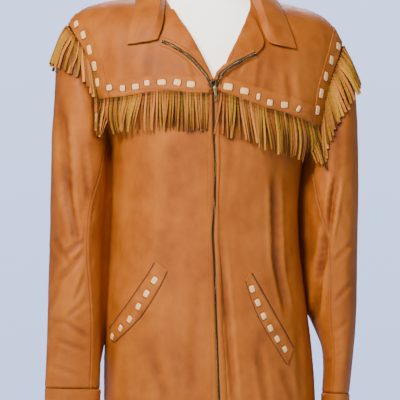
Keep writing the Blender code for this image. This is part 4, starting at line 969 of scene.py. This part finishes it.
def spots_of(node):
    """Place, direction and size of each stitch: from the photograph in front, else the part."""
    found = []
    for px, py, turn, long, wide in FRONT_LACES.get(node, ()):
        near, normal = hit(STRIP_TREE, px, py)
        if near is None:
            near, normal = hit(SHELL_TREE, px, py)
        angle = math.radians(turn)
        along = VIEW_RIGHT * math.cos(angle) + UP * math.sin(angle)
        found.append((near, normal, along, long * PIXEL, wide * PIXEL))
    for spot, along in lace_spots[node]:
        if node in FRONT_LACES and spot.y < 0.0:
            continue
        near, normal, _, _ = STRIP_TREE.find_nearest(spot)
        found.append((near, normal, along, LACE_LONG * rng.uniform(0.9, 1.04),
                      LACE_WIDE * rng.uniform(0.92, 1.06)))
    return found


# %% Lace the bands and the welts
for node in lace_spots:
    places, slots = [], []
    for near, normal, along, long, wide in spots_of(node):
        places.append(frame_at(near - normal * LACE_SINK, along, normal,
                               Vector((long, wide, LACE_HIGH))))
        along = (along - normal * along.dot(normal)).normalized()
        for end in (-1, 1):
            slot = near + along * end * (long / 2 + SLIT_ON) + normal * 0.05 * MM
            slots.append(frame_at(slot, along, normal,
                                  Vector((SLIT_LONG, wide * SLIT_WIDE, SLIT_HIGH))))
    laces["lace_" + node] = copies(stitch_master, places, "lace_" + node, LACE)
    laces["slit_shade_" + node] = copies(stitch_master, slots, "slit_shade_" + node, SLIT_SHADE)
    print(node, "lace stitches", len(places))
bpy.data.objects.remove(stitch_master)

# %% [markdown]
# ## Fringe
# The fringe was cut into a strip of hide, so every strand is flat and square-edged and hangs
# with its own twist. Strands are drawn one by one down the leather under them: each step falls,
# sways with its neighbours, and is pushed off whatever it would pass through.

# %% Roots of the fringe
# Round the armholes both sides share x and y: how far out, y, and the left and right heights.
ARMHOLE_ROOTS = (
    (0.2075, -0.0680, 0.6580, 0.6080), (0.2110, -0.0625, 0.6800, 0.6310),
    (0.2154, -0.0566, 0.6972, 0.6506), (0.2209, -0.0523, 0.7100, 0.6653),
    (0.2266, -0.0471, 0.7224, 0.6795), (0.2326, -0.0408, 0.7339, 0.6928),
    (0.2385, -0.0333, 0.7446, 0.7052), (0.2438, -0.0247, 0.7549, 0.7174),
    (0.2482, -0.0145, 0.7641, 0.7284), (0.2504, -0.0011, 0.7688, 0.7341),
    (0.2486, 0.0120, 0.7654, 0.7300), (0.2445, 0.0223, 0.7572, 0.7202),
    (0.2392, 0.0304, 0.7463, 0.7073), (0.2335, 0.0375, 0.7347, 0.6936),
    (0.2279, 0.0434, 0.7227, 0.6796), (0.2221, 0.0480, 0.7102, 0.6653),
    (0.2164, 0.0515, 0.6974, 0.6506), (0.2110, 0.0560, 0.6760, 0.6290),
    (0.2075, 0.0590, 0.6580, 0.6080),
)
# Points along the top of each strip of fringe, in metres, as the part has them.
ROOTS = {
    "fringe_front_left": (
        (-0.0112, -0.1509, 0.6503), (-0.0374, -0.1493, 0.6508), (-0.0634, -0.1456, 0.6512),
        (-0.0889, -0.1397, 0.6515), (-0.1139, -0.1316, 0.6518), (-0.1379, -0.1210, 0.6518),
        (-0.1605, -0.1078, 0.6515), (-0.1812, -0.0917, 0.6509), (-0.1990, -0.0727, 0.6497)),
    "fringe_front_right": (
        (0.0112, -0.1509, 0.6476), (0.0374, -0.1493, 0.6417), (0.0634, -0.1456, 0.6358),
        (0.0889, -0.1397, 0.6299), (0.1139, -0.1315, 0.6239), (0.1378, -0.1209, 0.6179),
        (0.1605, -0.1078, 0.6118), (0.1812, -0.0917, 0.6058), (0.1990, -0.0727, 0.6000)),
    "fringe_armhole_left": [(-out, y, left) for out, y, left, _ in ARMHOLE_ROOTS],
    "fringe_armhole_right": [(out, y, right) for out, y, _, right in ARMHOLE_ROOTS],
    "fringe_back": (
        (-0.1989, 0.0603, 0.6492), (-0.1765, 0.0817, 0.6482), (-0.1504, 0.0988, 0.6467),
        (-0.1222, 0.1120, 0.6448), (-0.0926, 0.1219, 0.6427), (-0.0621, 0.1287, 0.6404),
        (-0.0312, 0.1327, 0.6381), (0.0000, 0.1340, 0.6357), (0.0312, 0.1327, 0.6304),
        (0.0621, 0.1287, 0.6251), (0.0926, 0.1219, 0.6198), (0.1222, 0.1120, 0.6145),
        (0.1504, 0.0988, 0.6093), (0.1765, 0.0817, 0.6042), (0.1989, 0.0603, 0.5994)),
}
# Pitch, strand width and length of each strip, in mm.
CUTS = {
    "fringe_front_left": (4.85, 3.9, 67), "fringe_front_right": (4.85, 3.9, 77),
    "fringe_armhole_left": (6.1, 5.8, 73), "fringe_armhole_right": (6.1, 5.7, 73),
    "fringe_back": (7.4, 6.4, 74),
}
STRAND_THICK = 1.2 * MM
STRAND_STEPS = 10
# Painted shade: how much darker a cut edge is than the two sides, and on the rows under the band.
CUT_EDGE_SHADE = 0.75
ROOT_DARK = (0.24, 0.08)
# A strand stays this far off the leather at its root, and this much more at its tip.
CLEAR, CLEAR_MORE = 1.6, 3.2
FARTHEST = 9 * MM
# Pixels across (or down, at the armholes) and how far a strand swings sideways for each unit
# that it falls, to the right of the photograph.
FRONT_SWING = ((98, -0.14), (115, -0.10), (130, -0.24), (140, -0.26), (148, -0.08), (165, 0.0),
               (205, 0.05), (213, -0.20), (219, -0.20), (226, -0.05), (236, 0.10), (270, 0.14),
               (290, 0.16), (304, 0.26), (318, 0.30))
LEFT_CAP_SWING = ((22, -0.42), (32, -0.36), (40, -0.14), (60, -0.04), (80, -0.07), (95, -0.12))
RIGHT_CAP_SWING = ((40, 0.44), (60, 0.40), (80, 0.30), (95, 0.26), (112, 0.18), (125, 0.14))
print("places along each strip:", {node: len(points) for node, points in ROOTS.items()})

# %% [markdown]
# ## Strands
# A knife cuts the strip into strands of nearly one width, and each dries with a twist of its own.
# Every strand is a strip of four-sided rings swept down a hanging line, so it keeps its cut edges.

# %% Cut the strands


def along_path(points, pitch):
    """Evenly spaced places on a path, each with the path's direction there."""
    points = [Vector(p) for p in points]
    runs = [0.0]
    for a, b in zip(points, points[1:]):
        runs.append(runs[-1] + (b - a).length)
    count = int(runs[-1] / pitch)
    found, k = [], 0
    for i in range(count + 1):
        d = runs[-1] * i / count
        while k < len(points) - 2 and runs[k + 1] < d:
            k += 1
        share = (d - runs[k]) / (runs[k + 1] - runs[k])
        found.append((points[k].lerp(points[k + 1], share),
                      (points[k + 1] - points[k]).normalized()))
    return found


def strand_path(root, outward, lean, sway, tree, long):
    """The middle line of one strand, hanging down over the leather."""
    step = long / STRAND_STEPS
    path, heading = [root], lean * 0.6 - UP
    for i in range(STRAND_STEPS):
        share = (i + 1) / STRAND_STEPS
        fall = lean - UP + sway * math.sin(share * 2.2)
        heading = heading.lerp(fall.normalized(), 0.6).normalized()
        spot = path[-1] + heading * step
        clear = (CLEAR + CLEAR_MORE * share) * MM
        near, normal, _, _ = tree.find_nearest(spot)
        if normal.dot(outward) < -0.2:
            normal = outward
        high = (spot - near).dot(normal)
        if high < clear:
            spot += normal * (clear - high)
        elif high > FARTHEST:
            spot -= normal * 0.25 * (high - FARTHEST)
        path.append(path[-1] + (spot - path[-1]).normalized() * step)
    return path


def cut_strand(bm, path, wide, width_axis, outward, twist, layers, tone, flip):
    """Sweeps a flat strip down a path, turning it by the twist as it goes."""
    rings = []
    count = len(path) - 1
    for i, p in enumerate(path):
        share = i / count
        run = (path[min(i + 1, count)] - path[max(i - 1, 0)]).normalized()
        deep = (outward - run * outward.dot(run)).normalized()
        across = deep.cross(run)
        across = across if across.dot(width_axis) > 0 else -across
        turn = Matrix.Rotation(twist * share ** 1.2, 3, run)
        across, deep = turn @ across, turn @ deep
        half = wide / 2 * (1 - 0.10 * share)
        thick = STRAND_THICK / 2
        rings.append([bm.verts.new(p + across * a * half + deep * b * thick)
                      for a, b in ((-1, -1), (1, -1), (1, 1), (-1, 1))])
    front, back = flip, 1.0 - flip
    for row, (a, b) in enumerate(zip(rings, rings[1:])):
        # The top of each strand lies in the shade of the band over it.
        dim = ROOT_DARK[row] if row < len(ROOT_DARK) else 0.0
        for j in range(4):
            k = (j + 1) % 4
            face = bm.faces.new((a[j], a[k], b[k], b[j]))
            # Faces 0 and 2 are the two sides of the hide, 1 and 3 its cut edges, painted dark as
            # shade.
            face[layers[0]] = (back, 0.0, front, 0.0)[j]
            face[layers[1]] = tone - dim - (0 if j in (0, 2) else CUT_EDGE_SHADE)
    # The two ends are cut edges too, painted dark as shade.
    for ring in (rings[0], rings[-1]):
        face = bm.faces.new(ring)
        face[layers[1]] = tone - CUT_EDGE_SHADE


def make_fringe(name, node, tree, seed, outward_of, swing_of):
    """All strands of one strip, cut at its pitch."""
    draws = random.Random(seed)
    pitch, wide, long = (v * MM for v in CUTS[node])
    bm = bmesh.new()
    layers = (bm.faces.layers.float.new("grain_side"), bm.faces.layers.float.new("tone"))
    places = along_path(ROOTS[node], pitch)
    for i, (root, width_axis) in enumerate(places):
        root = settle_band(root)
        near, normal, _, _ = tree.find_nearest(root)
        outward = outward_of(root, normal)
        start = near + outward * (0.5 + (i % 2) * 1.3 + draws.uniform(0, 0.4)) * MM
        clump = noise.noise(Vector((i * 0.31, seed, 0))) * 0.30 + draws.uniform(-0.07, 0.07)
        swing = swing_of(root, width_axis)
        path = strand_path(start, outward, swing, width_axis * clump, tree,
                           long * draws.uniform(0.95, 1.04))
        twist = draws.choice((-1, 1)) * draws.uniform(0.15, 1.35)
        flip = 1.0 if draws.random() < 0.36 else 0.0
        facing = outward
        if "armhole" in node:
            facing = (outward + Vector((0, math.copysign(1.3, root.y - 0.012), 0))).normalized()
            width_axis = facing.cross(UP)
            twist *= 0.6
        # Each strand's tone is random, less 0.08 on the set-back strands as painted shade.
        cut_strand(bm, path, wide, width_axis, facing, twist, layers,
                   draws.uniform(0.26, 0.72) - 0.08 * (1 - i % 2), flip)
    bmesh.ops.recalc_face_normals(bm, faces=bm.faces)
    piece = object_from(bm, name, FRINGE)
    piece.data.shade_flat()
    print(node, "strands", len(places))
    return piece


def straight_out(root, normal):
    """Strands on a flat panel stand off it along its normal."""
    return normal


def cap_out(root, normal):
    """Strands round an armhole fan out sideways, and to front and back."""
    side = Vector((math.copysign(0.35, root.x), root.y * 3.0, 0.25))
    return (normal + side.normalized() * 0.6).normalized()


def front_swing(root, width_axis):
    """The swing read off the photograph for this column."""
    px, _ = pixel_of(root)
    return VIEW_RIGHT * between(FRONT_SWING, px)


def cap_swing(root, width_axis):
    """The swing read off the photograph for this row."""
    _, py = pixel_of(root)
    table = LEFT_CAP_SWING if root.x < 0 else RIGHT_CAP_SWING
    return Vector((between(table, py), root.y * 1.2, 0))


def back_swing(root, width_axis):
    """A small, soft sway, because no photograph shows the back."""
    return Vector((0.12 * noise.noise(root * 14), 0, 0))


# %% Hang the five strips of strands
fringes = {}
for seed, node in enumerate(ROOTS):
    kinds = {"front": (straight_out, front_swing), "armhole": (cap_out, cap_swing),
             "back": (straight_out, back_swing)}[node.split("_")[1]]
    fringes[node] = make_fringe(node.replace("fringe", "strands"), node, SHELL_TREE, seed + 3,
                                *kinds)

# %% [markdown]
# ## Shade under the fringe
# In the photograph the leather behind the strands lies in deep shade. The lamps here are softer,
# so the panels' relief is lowered near the strands, and the material turns that to a dark tone.

# %% Shade the leather that the fringe covers
SHADE_REACH, SHADE_DEPTH = 9 * MM, 2.8
bpy.context.view_layer.update()
FRINGE_TREE = tree_from(*fringes.values())
for piece in skins.values():
    relief = piece.data.attributes["relief"].data
    for v in piece.data.vertices:
        near, _, _, far = FRINGE_TREE.find_nearest(v.co, SHADE_REACH)
        if near is not None:
            relief[v.index].value -= SHADE_DEPTH * (1 - far / SHADE_REACH)
print("panels shaded:", len(skins))

# %% [markdown]
# ## The zip
# A brass zip on cotton tape closes the fronts up to the slider. Its teeth are small blocks that
# take turns from the two tapes. Above the slider each half lies open on its turned-out facing.

# %% Model one tooth and set out the chain
TOOTH_PITCH = 2.2 * MM
# Length, width and height of a tooth: meshed in the chain, and free on an open half.
CHAIN_TOOTH, OPEN_TOOTH = Vector((1.9, 0.85, 1.3)) * MM, Vector((2.2, 1.25, 1.5)) * MM
TOOTH_OFF = 0.75 * MM  # how far a tooth of the chain stands off its middle line


def model_tooth():
    """One cast tooth: a block with rounded edges and a waist behind its head."""
    bpy.ops.object.select_all(action="DESELECT")
    bpy.ops.mesh.primitive_cube_add(size=1.0)
    made = bpy.context.active_object
    bpy.ops.object.mode_set(mode="EDIT")
    bpy.ops.mesh.select_all(action="SELECT")
    bpy.ops.mesh.bevel(offset=0.16, segments=1)
    bpy.ops.object.mode_set(mode="OBJECT")
    return made


def middle_line(node, count):
    """The middle of an upright CAD bar at evenly spaced heights."""
    low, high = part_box(node)
    points = [v.co.copy() for v in NODES[node].data.vertices]
    line = []
    for i in range(count):
        z = low.z + (high.z - low.z) * i / (count - 1)
        near = sorted(points, key=lambda p: abs(p.z - z))[:8]
        weights = [1 / (abs(p.z - z) + 0.002) for p in near]
        total = sum(weights)
        x = sum(p.x * w for p, w in zip(near, weights)) / total
        y = sum(p.y * w for p, w in zip(near, weights)) / total
        line.append(Vector((x, y, z)))
    return line


tooth = model_tooth()
chain_line = middle_line("zip_chain", 17)
chain_places = []
for i, (spot, along) in enumerate(along_path(chain_line, TOOTH_PITCH / 2)):
    sign = -1 if i % 2 else 1
    chain_places.append(frame_at(spot + Vector((sign * TOOTH_OFF, 0, 0)), Vector((1, 0, 0)),
                                 Vector((0, -1, 0)), CHAIN_TOOTH))
chain = copies(tooth, chain_places, "zip_teeth_chain", BRASS)
print("teeth in the chain:", len(chain_places))

# %% [markdown]
# ## The open halves of the zip
# Above the slider each tape lies on its turned-out front, with teeth along it and a puckered
# roll of leather on either side. Tape and rolls are sheets laid through rows of pixels.

# %% Lay the open halves on the facings
bpy.context.view_layer.update()
# The open halves, in pixels, from the slider up to where each ends under the collar.
HALF_ROWS = {
    "left": ((211.6, 87.0), (210.4, 83.0), (207.7, 78.0), (202.8, 71.0), (193.7, 60.5),
             (183.0, 52.0), (171.2, 45.0), (162.0, 41.5)),
    "right": ((215.6, 87.0), (216.8, 82.0), (220.0, 76.0), (226.5, 69.0), (235.6, 63.0),
              (246.0, 58.0), (255.5, 53.5)),
}
FACED_TREE = tree_from(*skins.values(), walls["facing_left"], walls["facing_right"])
half_teeth, half_tapes, half_lips = {}, {}, {}


def roll(high):
    """A rounded strip of leather with the small puckers that its stitches pull up."""
    return lambda i, t: (math.sin(math.pi * (0.12 + 0.76 * t)) * high
                         + 0.35 * MM * noise.noise(Vector((i * 0.9, t, high * 900))))


for side in SIDES:
    line = HALF_ROWS[side]
    half_tapes[side] = patch(ribbon_rows(line, -1.9, 1.9), 4, "zip_tape_" + side, TAPE,
                             FACED_TREE, lambda i, t: 1.3 * MM)
    places = []
    pixels = [Vector((x, y, 0)) for x, y in line]
    for spot, run in along_path(pixels, TOOTH_PITCH / PIXEL):
        p = on_front(FACED_TREE, spot.x, spot.y, 2.0 * MM)
        q = on_front(FACED_TREE, spot.x + run.x, spot.y + run.y, 2.0 * MM)
        _, normal, _, _ = FACED_TREE.find_nearest(p)
        places.append(frame_at(p, normal.cross((q - p).normalized()), normal, OPEN_TOOTH))
    half_teeth[side] = copies(tooth, places, "zip_teeth_" + side, BRASS)
    lips = [patch(ribbon_rows(line[1:], a, b), 5, "lip_%s_%d" % (side, k), BAND_LEATHER,
                  FACED_TREE, roll(2.4 * MM))
            for k, (a, b) in enumerate(((-4.6, -1.3), (1.3, 4.6)))]
    for lip in lips:
        rounded(lip, 1)
    half_lips[side] = lips
    print(side, "half teeth", len(places))

# %% [markdown]
# ## Turned edges beside the chain
# The leather of each front is folded back beside the zip, so the chain lies in a narrow gap
# between two rolled edges. Each edge is a sheet with a round cross-section, from the slider down.

# %% Turn the edges of the fronts
# Rows of pixels, and where the middle of the zip and the outer side of each edge lie.
ZIP_X = ((95, 213.4), (135, 213.8), (162, 215.4), (200, 215.0), (235, 212.6), (262, 214.4),
         (310, 215.6), (345, 217.0), (400, 219.0), (428, 219.8))
LEFT_EDGE_X = ((95, 208.4), (120, 207.2), (200, 207.5), (250, 208.5), (300, 209.5),
               (345, 210.2), (400, 211.5), (428, 212.2))
RIGHT_EDGE_X = ((95, 219.2), (110, 218.6), (140, 219.6), (160, 220.3), (195, 218.8),
                (240, 218.9), (275, 221.0), (330, 222.6), (365, 225.6), (400, 227.0),
                (428, 227.6))
EDGE_TOP, EDGE_STEP, EDGE_ROWS = 95, 3.0, 112
turned_edges = []
for side, edge, gap in (("left", LEFT_EDGE_X, -1.1), ("right", RIGHT_EDGE_X, 1.1)):
    rows = []
    for k in range(EDGE_ROWS):
        py = EDGE_TOP + k * EDGE_STEP
        inner, outer = between(ZIP_X, py) + gap, between(edge, py)
        rows.append((min(inner, outer), py, max(inner, outer), py))
    strip = patch(rows, 6, "turned_edge_" + side, DEERSKIN, FACED_TREE, roll(2.6 * MM))
    rounded(strip, 1)
    turned_edges.append(strip)
print("turned edges:", [area_of(strip) for strip in turned_edges])
bpy.data.objects.remove(tooth)
# The front's top edge is turned up below the yoke, which shows beside the zip as dark leather.
ALLOWANCES = {
    "left": ((190.0, 92.5), (197.0, 91.6), (204.0, 91.0), (211.0, 90.6)),
    "right": ((216.5, 90.6), (224.0, 93.2), (231.0, 95.8), (240.0, 99.0)),
}
allowances = [patch([(x, y - 3.5, x, y + 3.5) for x, y in ALLOWANCES[side]], 4,
                    "seam_allowance_" + side, DEERSKIN, FACED_TREE, lambda i, t: -1.8 * MM)
              for side in SIDES]

# %% [markdown]
# ## Tape behind the chain
# The teeth are cast on woven tapes that are sewn under the leather. One wide, flat tape stands
# for both, because only a dark line of it shows beside the teeth. Its near black is painted shade.

# %% Zip tape behind the chain


def make_tape(line, wide, behind, name):
    """A flat woven tape that runs along a line, behind it."""
    bm = bmesh.new()
    rows = []
    for p, _ in along_path(line, 6 * MM):
        rows.append([bm.verts.new(p + Vector((x * wide, behind, 0)))
                     for x in (-0.5, -0.1, 0.1, 0.5)])
    for a, b in zip(rows, rows[1:]):
        for j in range(3):
            bm.faces.new((a[j], a[j + 1], b[j + 1], b[j]))
    piece = object_from(bm, name, TAPE)
    apply(piece, "SOLIDIFY", thickness=0.6 * MM, offset=-1)
    return piece


TAPE_WIDE, TAPE_BEHIND = 18 * MM, 2.2 * MM
# It goes on a little way above the slider, where the two fronts part.
TAPE_ON = Vector((1.5, 0, 13)) * MM
tape = make_tape(chain_line + [chain_line[-1] + TAPE_ON], TAPE_WIDE, TAPE_BEHIND, "zip_tape")
print("tape faces:", len(tape.data.polygons))

# %% [markdown]
# ## Slider and pull
# The slider is a die-cast body with a bail on its face. The pull tab hangs from the bail and
# swings, so it rides on its own body.

# %% Finish the slider and the pull


def cast_piece(node, name, bevel):
    """A CAD solid with its edges rounded as casting leaves them."""
    bm = welded(node, 0.01 * MM)
    bmesh.ops.dissolve_limit(bm, angle_limit=math.radians(2), verts=bm.verts, edges=bm.edges)
    piece = object_from(bm, name, BRASS)
    apply(piece, "BEVEL", width=bevel, segments=2, limit_method="ANGLE",
          angle_limit=math.radians(35))
    piece.data.shade_smooth()
    piece.data.set_sharp_from_angle(angle=math.radians(50))
    return piece


slider = cast_piece("zip_slider", "slider_body", 0.45 * MM)
pull = cast_piece("zip_pull", "pull_tab_plate", 0.22 * MM)
print("slider and pull faces:", len(slider.data.polygons), len(pull.data.polygons))

# %% [markdown]
# ## Topstitching
# Rows of waxed thread hold the edges flat. One stitch is a short six-sided bar, sunk half into the
# leather, and the rows follow lines that are laid on the surface point by point.

# %% Helpers for rows of stitching


def model_thread():
    """A six-sided bar, 1 m long and a little flat, to be scaled for each stitch."""
    bpy.ops.object.select_all(action="DESELECT")
    bpy.ops.mesh.primitive_cylinder_add(vertices=6, radius=0.5, depth=1.0,
                                        rotation=(0, math.pi / 2, 0))
    made = bpy.context.active_object
    bpy.ops.object.transform_apply(location=False, rotation=True, scale=True)
    for v in made.data.vertices:
        v.co.z *= 0.8
    return made


# From stitch to stitch, how high a stitch's middle lies, and its length, width and height.
STITCH_PITCH, STITCH_HIGH = 3.4 * MM, 0.15 * MM
STITCH_SIZE = Vector((2.5, 0.62, 0.62)) * MM


def lift_row(points, tree):
    """Matrices for the stitches of one row, laid on a tree."""
    rows = []
    for spot, along in along_path(points, STITCH_PITCH):
        near, normal, _, _ = tree.find_nearest(spot)
        rows.append(frame_at(near + normal * STITCH_HIGH, along, normal, STITCH_SIZE))
    return rows


def pixel_row(pixels, tree):
    """A row of points on the front, through pixels of the photograph."""
    return [on_front(tree, px, py) for px, py in finer(pixels, 4)]


def edge_rows(piece, inset, keep):
    """Runs of points along a sheet's edge, moved in from it, where keep(point) is true."""
    bm = bmesh.new()
    bm.from_mesh(piece.data)
    nexts = {}
    for edge in bm.edges:
        if edge.is_boundary:
            face = edge.link_faces[0]
            middle = (edge.verts[0].co + edge.verts[1].co) / 2
            inward = (face.calc_center_median() - middle).normalized()
            for v in edge.verts:
                nexts.setdefault(v, []).append((edge.other_vert(v), inward))
    runs, seen = [], set()
    for start in nexts:
        if start in seen:
            continue
        v, run = start, []
        while v is not None and v not in seen:
            seen.add(v)
            inward = sum((w for _, w in nexts[v]), Vector()).normalized()
            if keep(v.co):
                run.append(v.co + inward * inset)
            elif run:
                runs.append(run)
                run = []
            v = next((o for o, _ in nexts[v] if o not in seen), None)
        if run:
            runs.append(run)
    bm.free()
    return [r for r in runs if len(r) > 6]


# %% Sew the rows
thread = model_thread()
OUTER_TREE = tree_from(*skins.values(), *strips.values(), *walls.values(), *turned_edges)
# Rows that the photograph shows: the turned edges by the zip, the collar and the shoulder.
PIXEL_ROWS = (
    tuple((x + 1.6, y) for y, x in LEFT_EDGE_X), tuple((x - 1.4, y) for y, x in RIGHT_EDGE_X),
    ((146.7, 1.0), (141.7, 17.5), (136.0, 32.0), (133.0, 40.5)), ((134.0, 41.6), (157.5, 37.8)),
    ((168.4, 2.0), (166.4, 20.0), (162.5, 32.0)), ((272.6, 3.8), (283.0, 25.0), (291.6, 42.0)),
    ((270.5, 39.4), (289.5, 45.0)), ((249.5, 2.0), (251.5, 14.0), (255.8, 28.0), (264, 37.5)),
    ((282.0, 12.6), (298.0, 17.6), (314.0, 24.0), (333.0, 39.0)),
)
matrices = []
for row in PIXEL_ROWS:
    matrices += lift_row(pixel_row(row, OUTER_TREE), OUTER_TREE)
HEM, BESIDE_NECK = 0.075, 0.07
# Rows along edges: pieces, how far in from the edge, and which points of it are sewn.
EDGE_SEAMS = (
    (list(strips.values()), 2.3, lambda p: True),
    ([skins[n] for n in ("back", "front_left", "front_right")], 20, lambda p: p.z < HEM),
    ([skins[n] for n in CUFFS], 3.2, lambda p: True),
    ([skins[n] for n in ("yoke_back", "sleeve_under_left", "sleeve_under_right")], 4.5,
     lambda p: abs(p.x) > BESIDE_NECK),
)
for pieces, inset, keep in EDGE_SEAMS:
    for piece in pieces:
        for run in edge_rows(piece, inset * MM, keep):
            matrices += lift_row(run, OUTER_TREE)
stitching = copies(thread, matrices, "stitching", THREAD)
bpy.data.objects.remove(thread)
print("stitches:", len(matrices))

# %% [markdown]
# ## Thickness and seams
# The sheets are whole now, so each gets its thickness back on its inner side. The outer side
# stays where it was laid, so laces, stitches and fringe still touch it.

# %% Give the sheets their thickness
THICKNESSES = (
    (skins.values(), LEATHER), (strips.values(), STRIP_THICK),
    ([*turned_edges, *half_lips["left"], *half_lips["right"]], 1.0 * MM),
    ([*half_tapes.values(), *shade_strips.values(), *allowances], 0.4 * MM),
)
for pieces, thick in THICKNESSES:
    for piece in pieces:
        apply(piece, "SOLIDIFY", thickness=thick, offset=-1, use_even_offset=False)
    print("sheets", len(pieces), "of", round(thick / MM, 1), "mm")

# %% [markdown]
# ## The form
# A limbless torso of glass fibre under a cotton jersey cover. It is smooth and whole, and shows
# only in the open neck and below the hem.

# %% Round the form
bm = welded("dress_form", 0.02 * MM, 0.7)
hold_rims(bm, 0.8)
form = object_from(bm, "form_torso", JERSEY)
rounded(form, 2)
print("form faces:", len(form.data.polygons))

# %% [markdown]
# ## Join everything to the part
# Each new piece replaces its CAD node and rides on that node's body.


def stand_for(piece, node, body="jacket"):
    """A piece rides on a body and hides the CAD node that it replaces."""
    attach(piece, body)
    if node:
        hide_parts(node)


for node, piece in {**skins, **walls, **strips}.items():
    stand_for(piece, node)
for node, piece in fringes.items():
    stand_for(piece, node)
stand_for(chain, "zip_chain")
for side in SIDES:
    stand_for(half_teeth[side], "zip_half_" + side)
# Pieces of their own, which stand for no CAD node.
for piece in [*laces.values(), *shade_strips.values(), *half_lips["left"], *half_lips["right"],
              *turned_edges, *allowances]:
    stand_for(piece, None)
for piece in [*half_tapes.values(), tape]:
    stand_for(piece, None)
stand_for(slider, "zip_slider")
stand_for(pull, "zip_pull", "pull_tab")
stand_for(stitching, None)
stand_for(form, "dress_form")

# %% [markdown]
# ## Studio
# A round, pale blue floor, one soft light high on the left, a weaker one from the right, and a
# pale blue room. The floor ends before it would show in the photograph's level view, so behind
# the jacket there is only the room's even tone, lighter above than below.

# %% Floor, room and lights
PAPER = plain_hide("matt floor paper, pale blue", "#AEC1E6", "#B6C9EC", 3.0, 0.95, 0.01 * MM)


FLOOR_RADIUS, FLOOR_THICK, FLOOR_Z = 2.6, 0.02, -0.0125


def make_floor():
    """A thin round floor with a rounded rim."""
    bpy.ops.object.select_all(action="DESELECT")
    bpy.ops.mesh.primitive_cylinder_add(vertices=96, radius=FLOOR_RADIUS, depth=FLOOR_THICK,
                                        location=(0, 0, FLOOR_Z))
    made = bpy.context.active_object
    made.name = "floor"
    bpy.ops.object.transform_apply(location=True, rotation=False, scale=False)
    apply(made, "BEVEL", width=0.005, segments=2, limit_method="ANGLE")
    made.data.materials.append(PAPER)
    return made


make_floor()


def area_light(name, place, aim, size, power, colour):
    """A round soft lamp that looks at a point."""
    data = bpy.data.lights.new(name, "AREA")
    data.shape = "DISK"
    data.size = size
    data.energy = power
    data.color = linear(colour)[:3]
    made = linked(name, data)
    made.location = place
    made.rotation_euler = (Vector(aim) - Vector(place)).to_track_quat("-Z", "Y").to_euler()


area_light("key", (-1.35, -2.3, 2.1), (0, 0, 0.5), 1.0, 182, "#FFF6EC")
area_light("fill", (2.1, -2.1, 1.0), (0, 0, 0.45), 1.2, 17, "#F8F8FF")
area_light("rear", (0.4, 2.4, 1.9), (0, 0, 0.5), 1.6, 110, "#F6F8FF")


def make_room():
    """Room light, with a paler tone above than below for whatever looks past the floor."""
    world = bpy.data.worlds.new("studio")
    bpy.context.scene.world = world
    world.use_nodes = True
    tree = world.node_tree
    soft = tree.nodes["Background"]
    soft.inputs["Color"].default_value = linear("#E4ECF8")
    soft.inputs["Strength"].default_value = 0.34
    where = add(tree, "ShaderNodeTexCoord")
    split = add(tree, "ShaderNodeSeparateXYZ", links={"Vector": (where, "Generated")})
    height = add(tree, "ShaderNodeMapRange", {"From Min": -0.035, "From Max": 0.035},
                 {"Value": (split, "Z")})
    tone = ramp(tree, height, "Result", ((0.0, "#9DB2E2"), (1.0, "#B3C5EC")))
    seen = add(tree, "ShaderNodeBackground", {"Strength": 2.75}, {"Color": (tone, "Color")})
    path = add(tree, "ShaderNodeLightPath")
    both = add(tree, "ShaderNodeMixShader", links={
        "Fac": (path, "Is Camera Ray"), 1: (soft, "Background"), 2: (seen, "Background")})
    tree.links.new(both.outputs["Shader"], tree.nodes["World Output"].inputs["Surface"])


make_room()
print("lights:", len(bpy.data.lights))
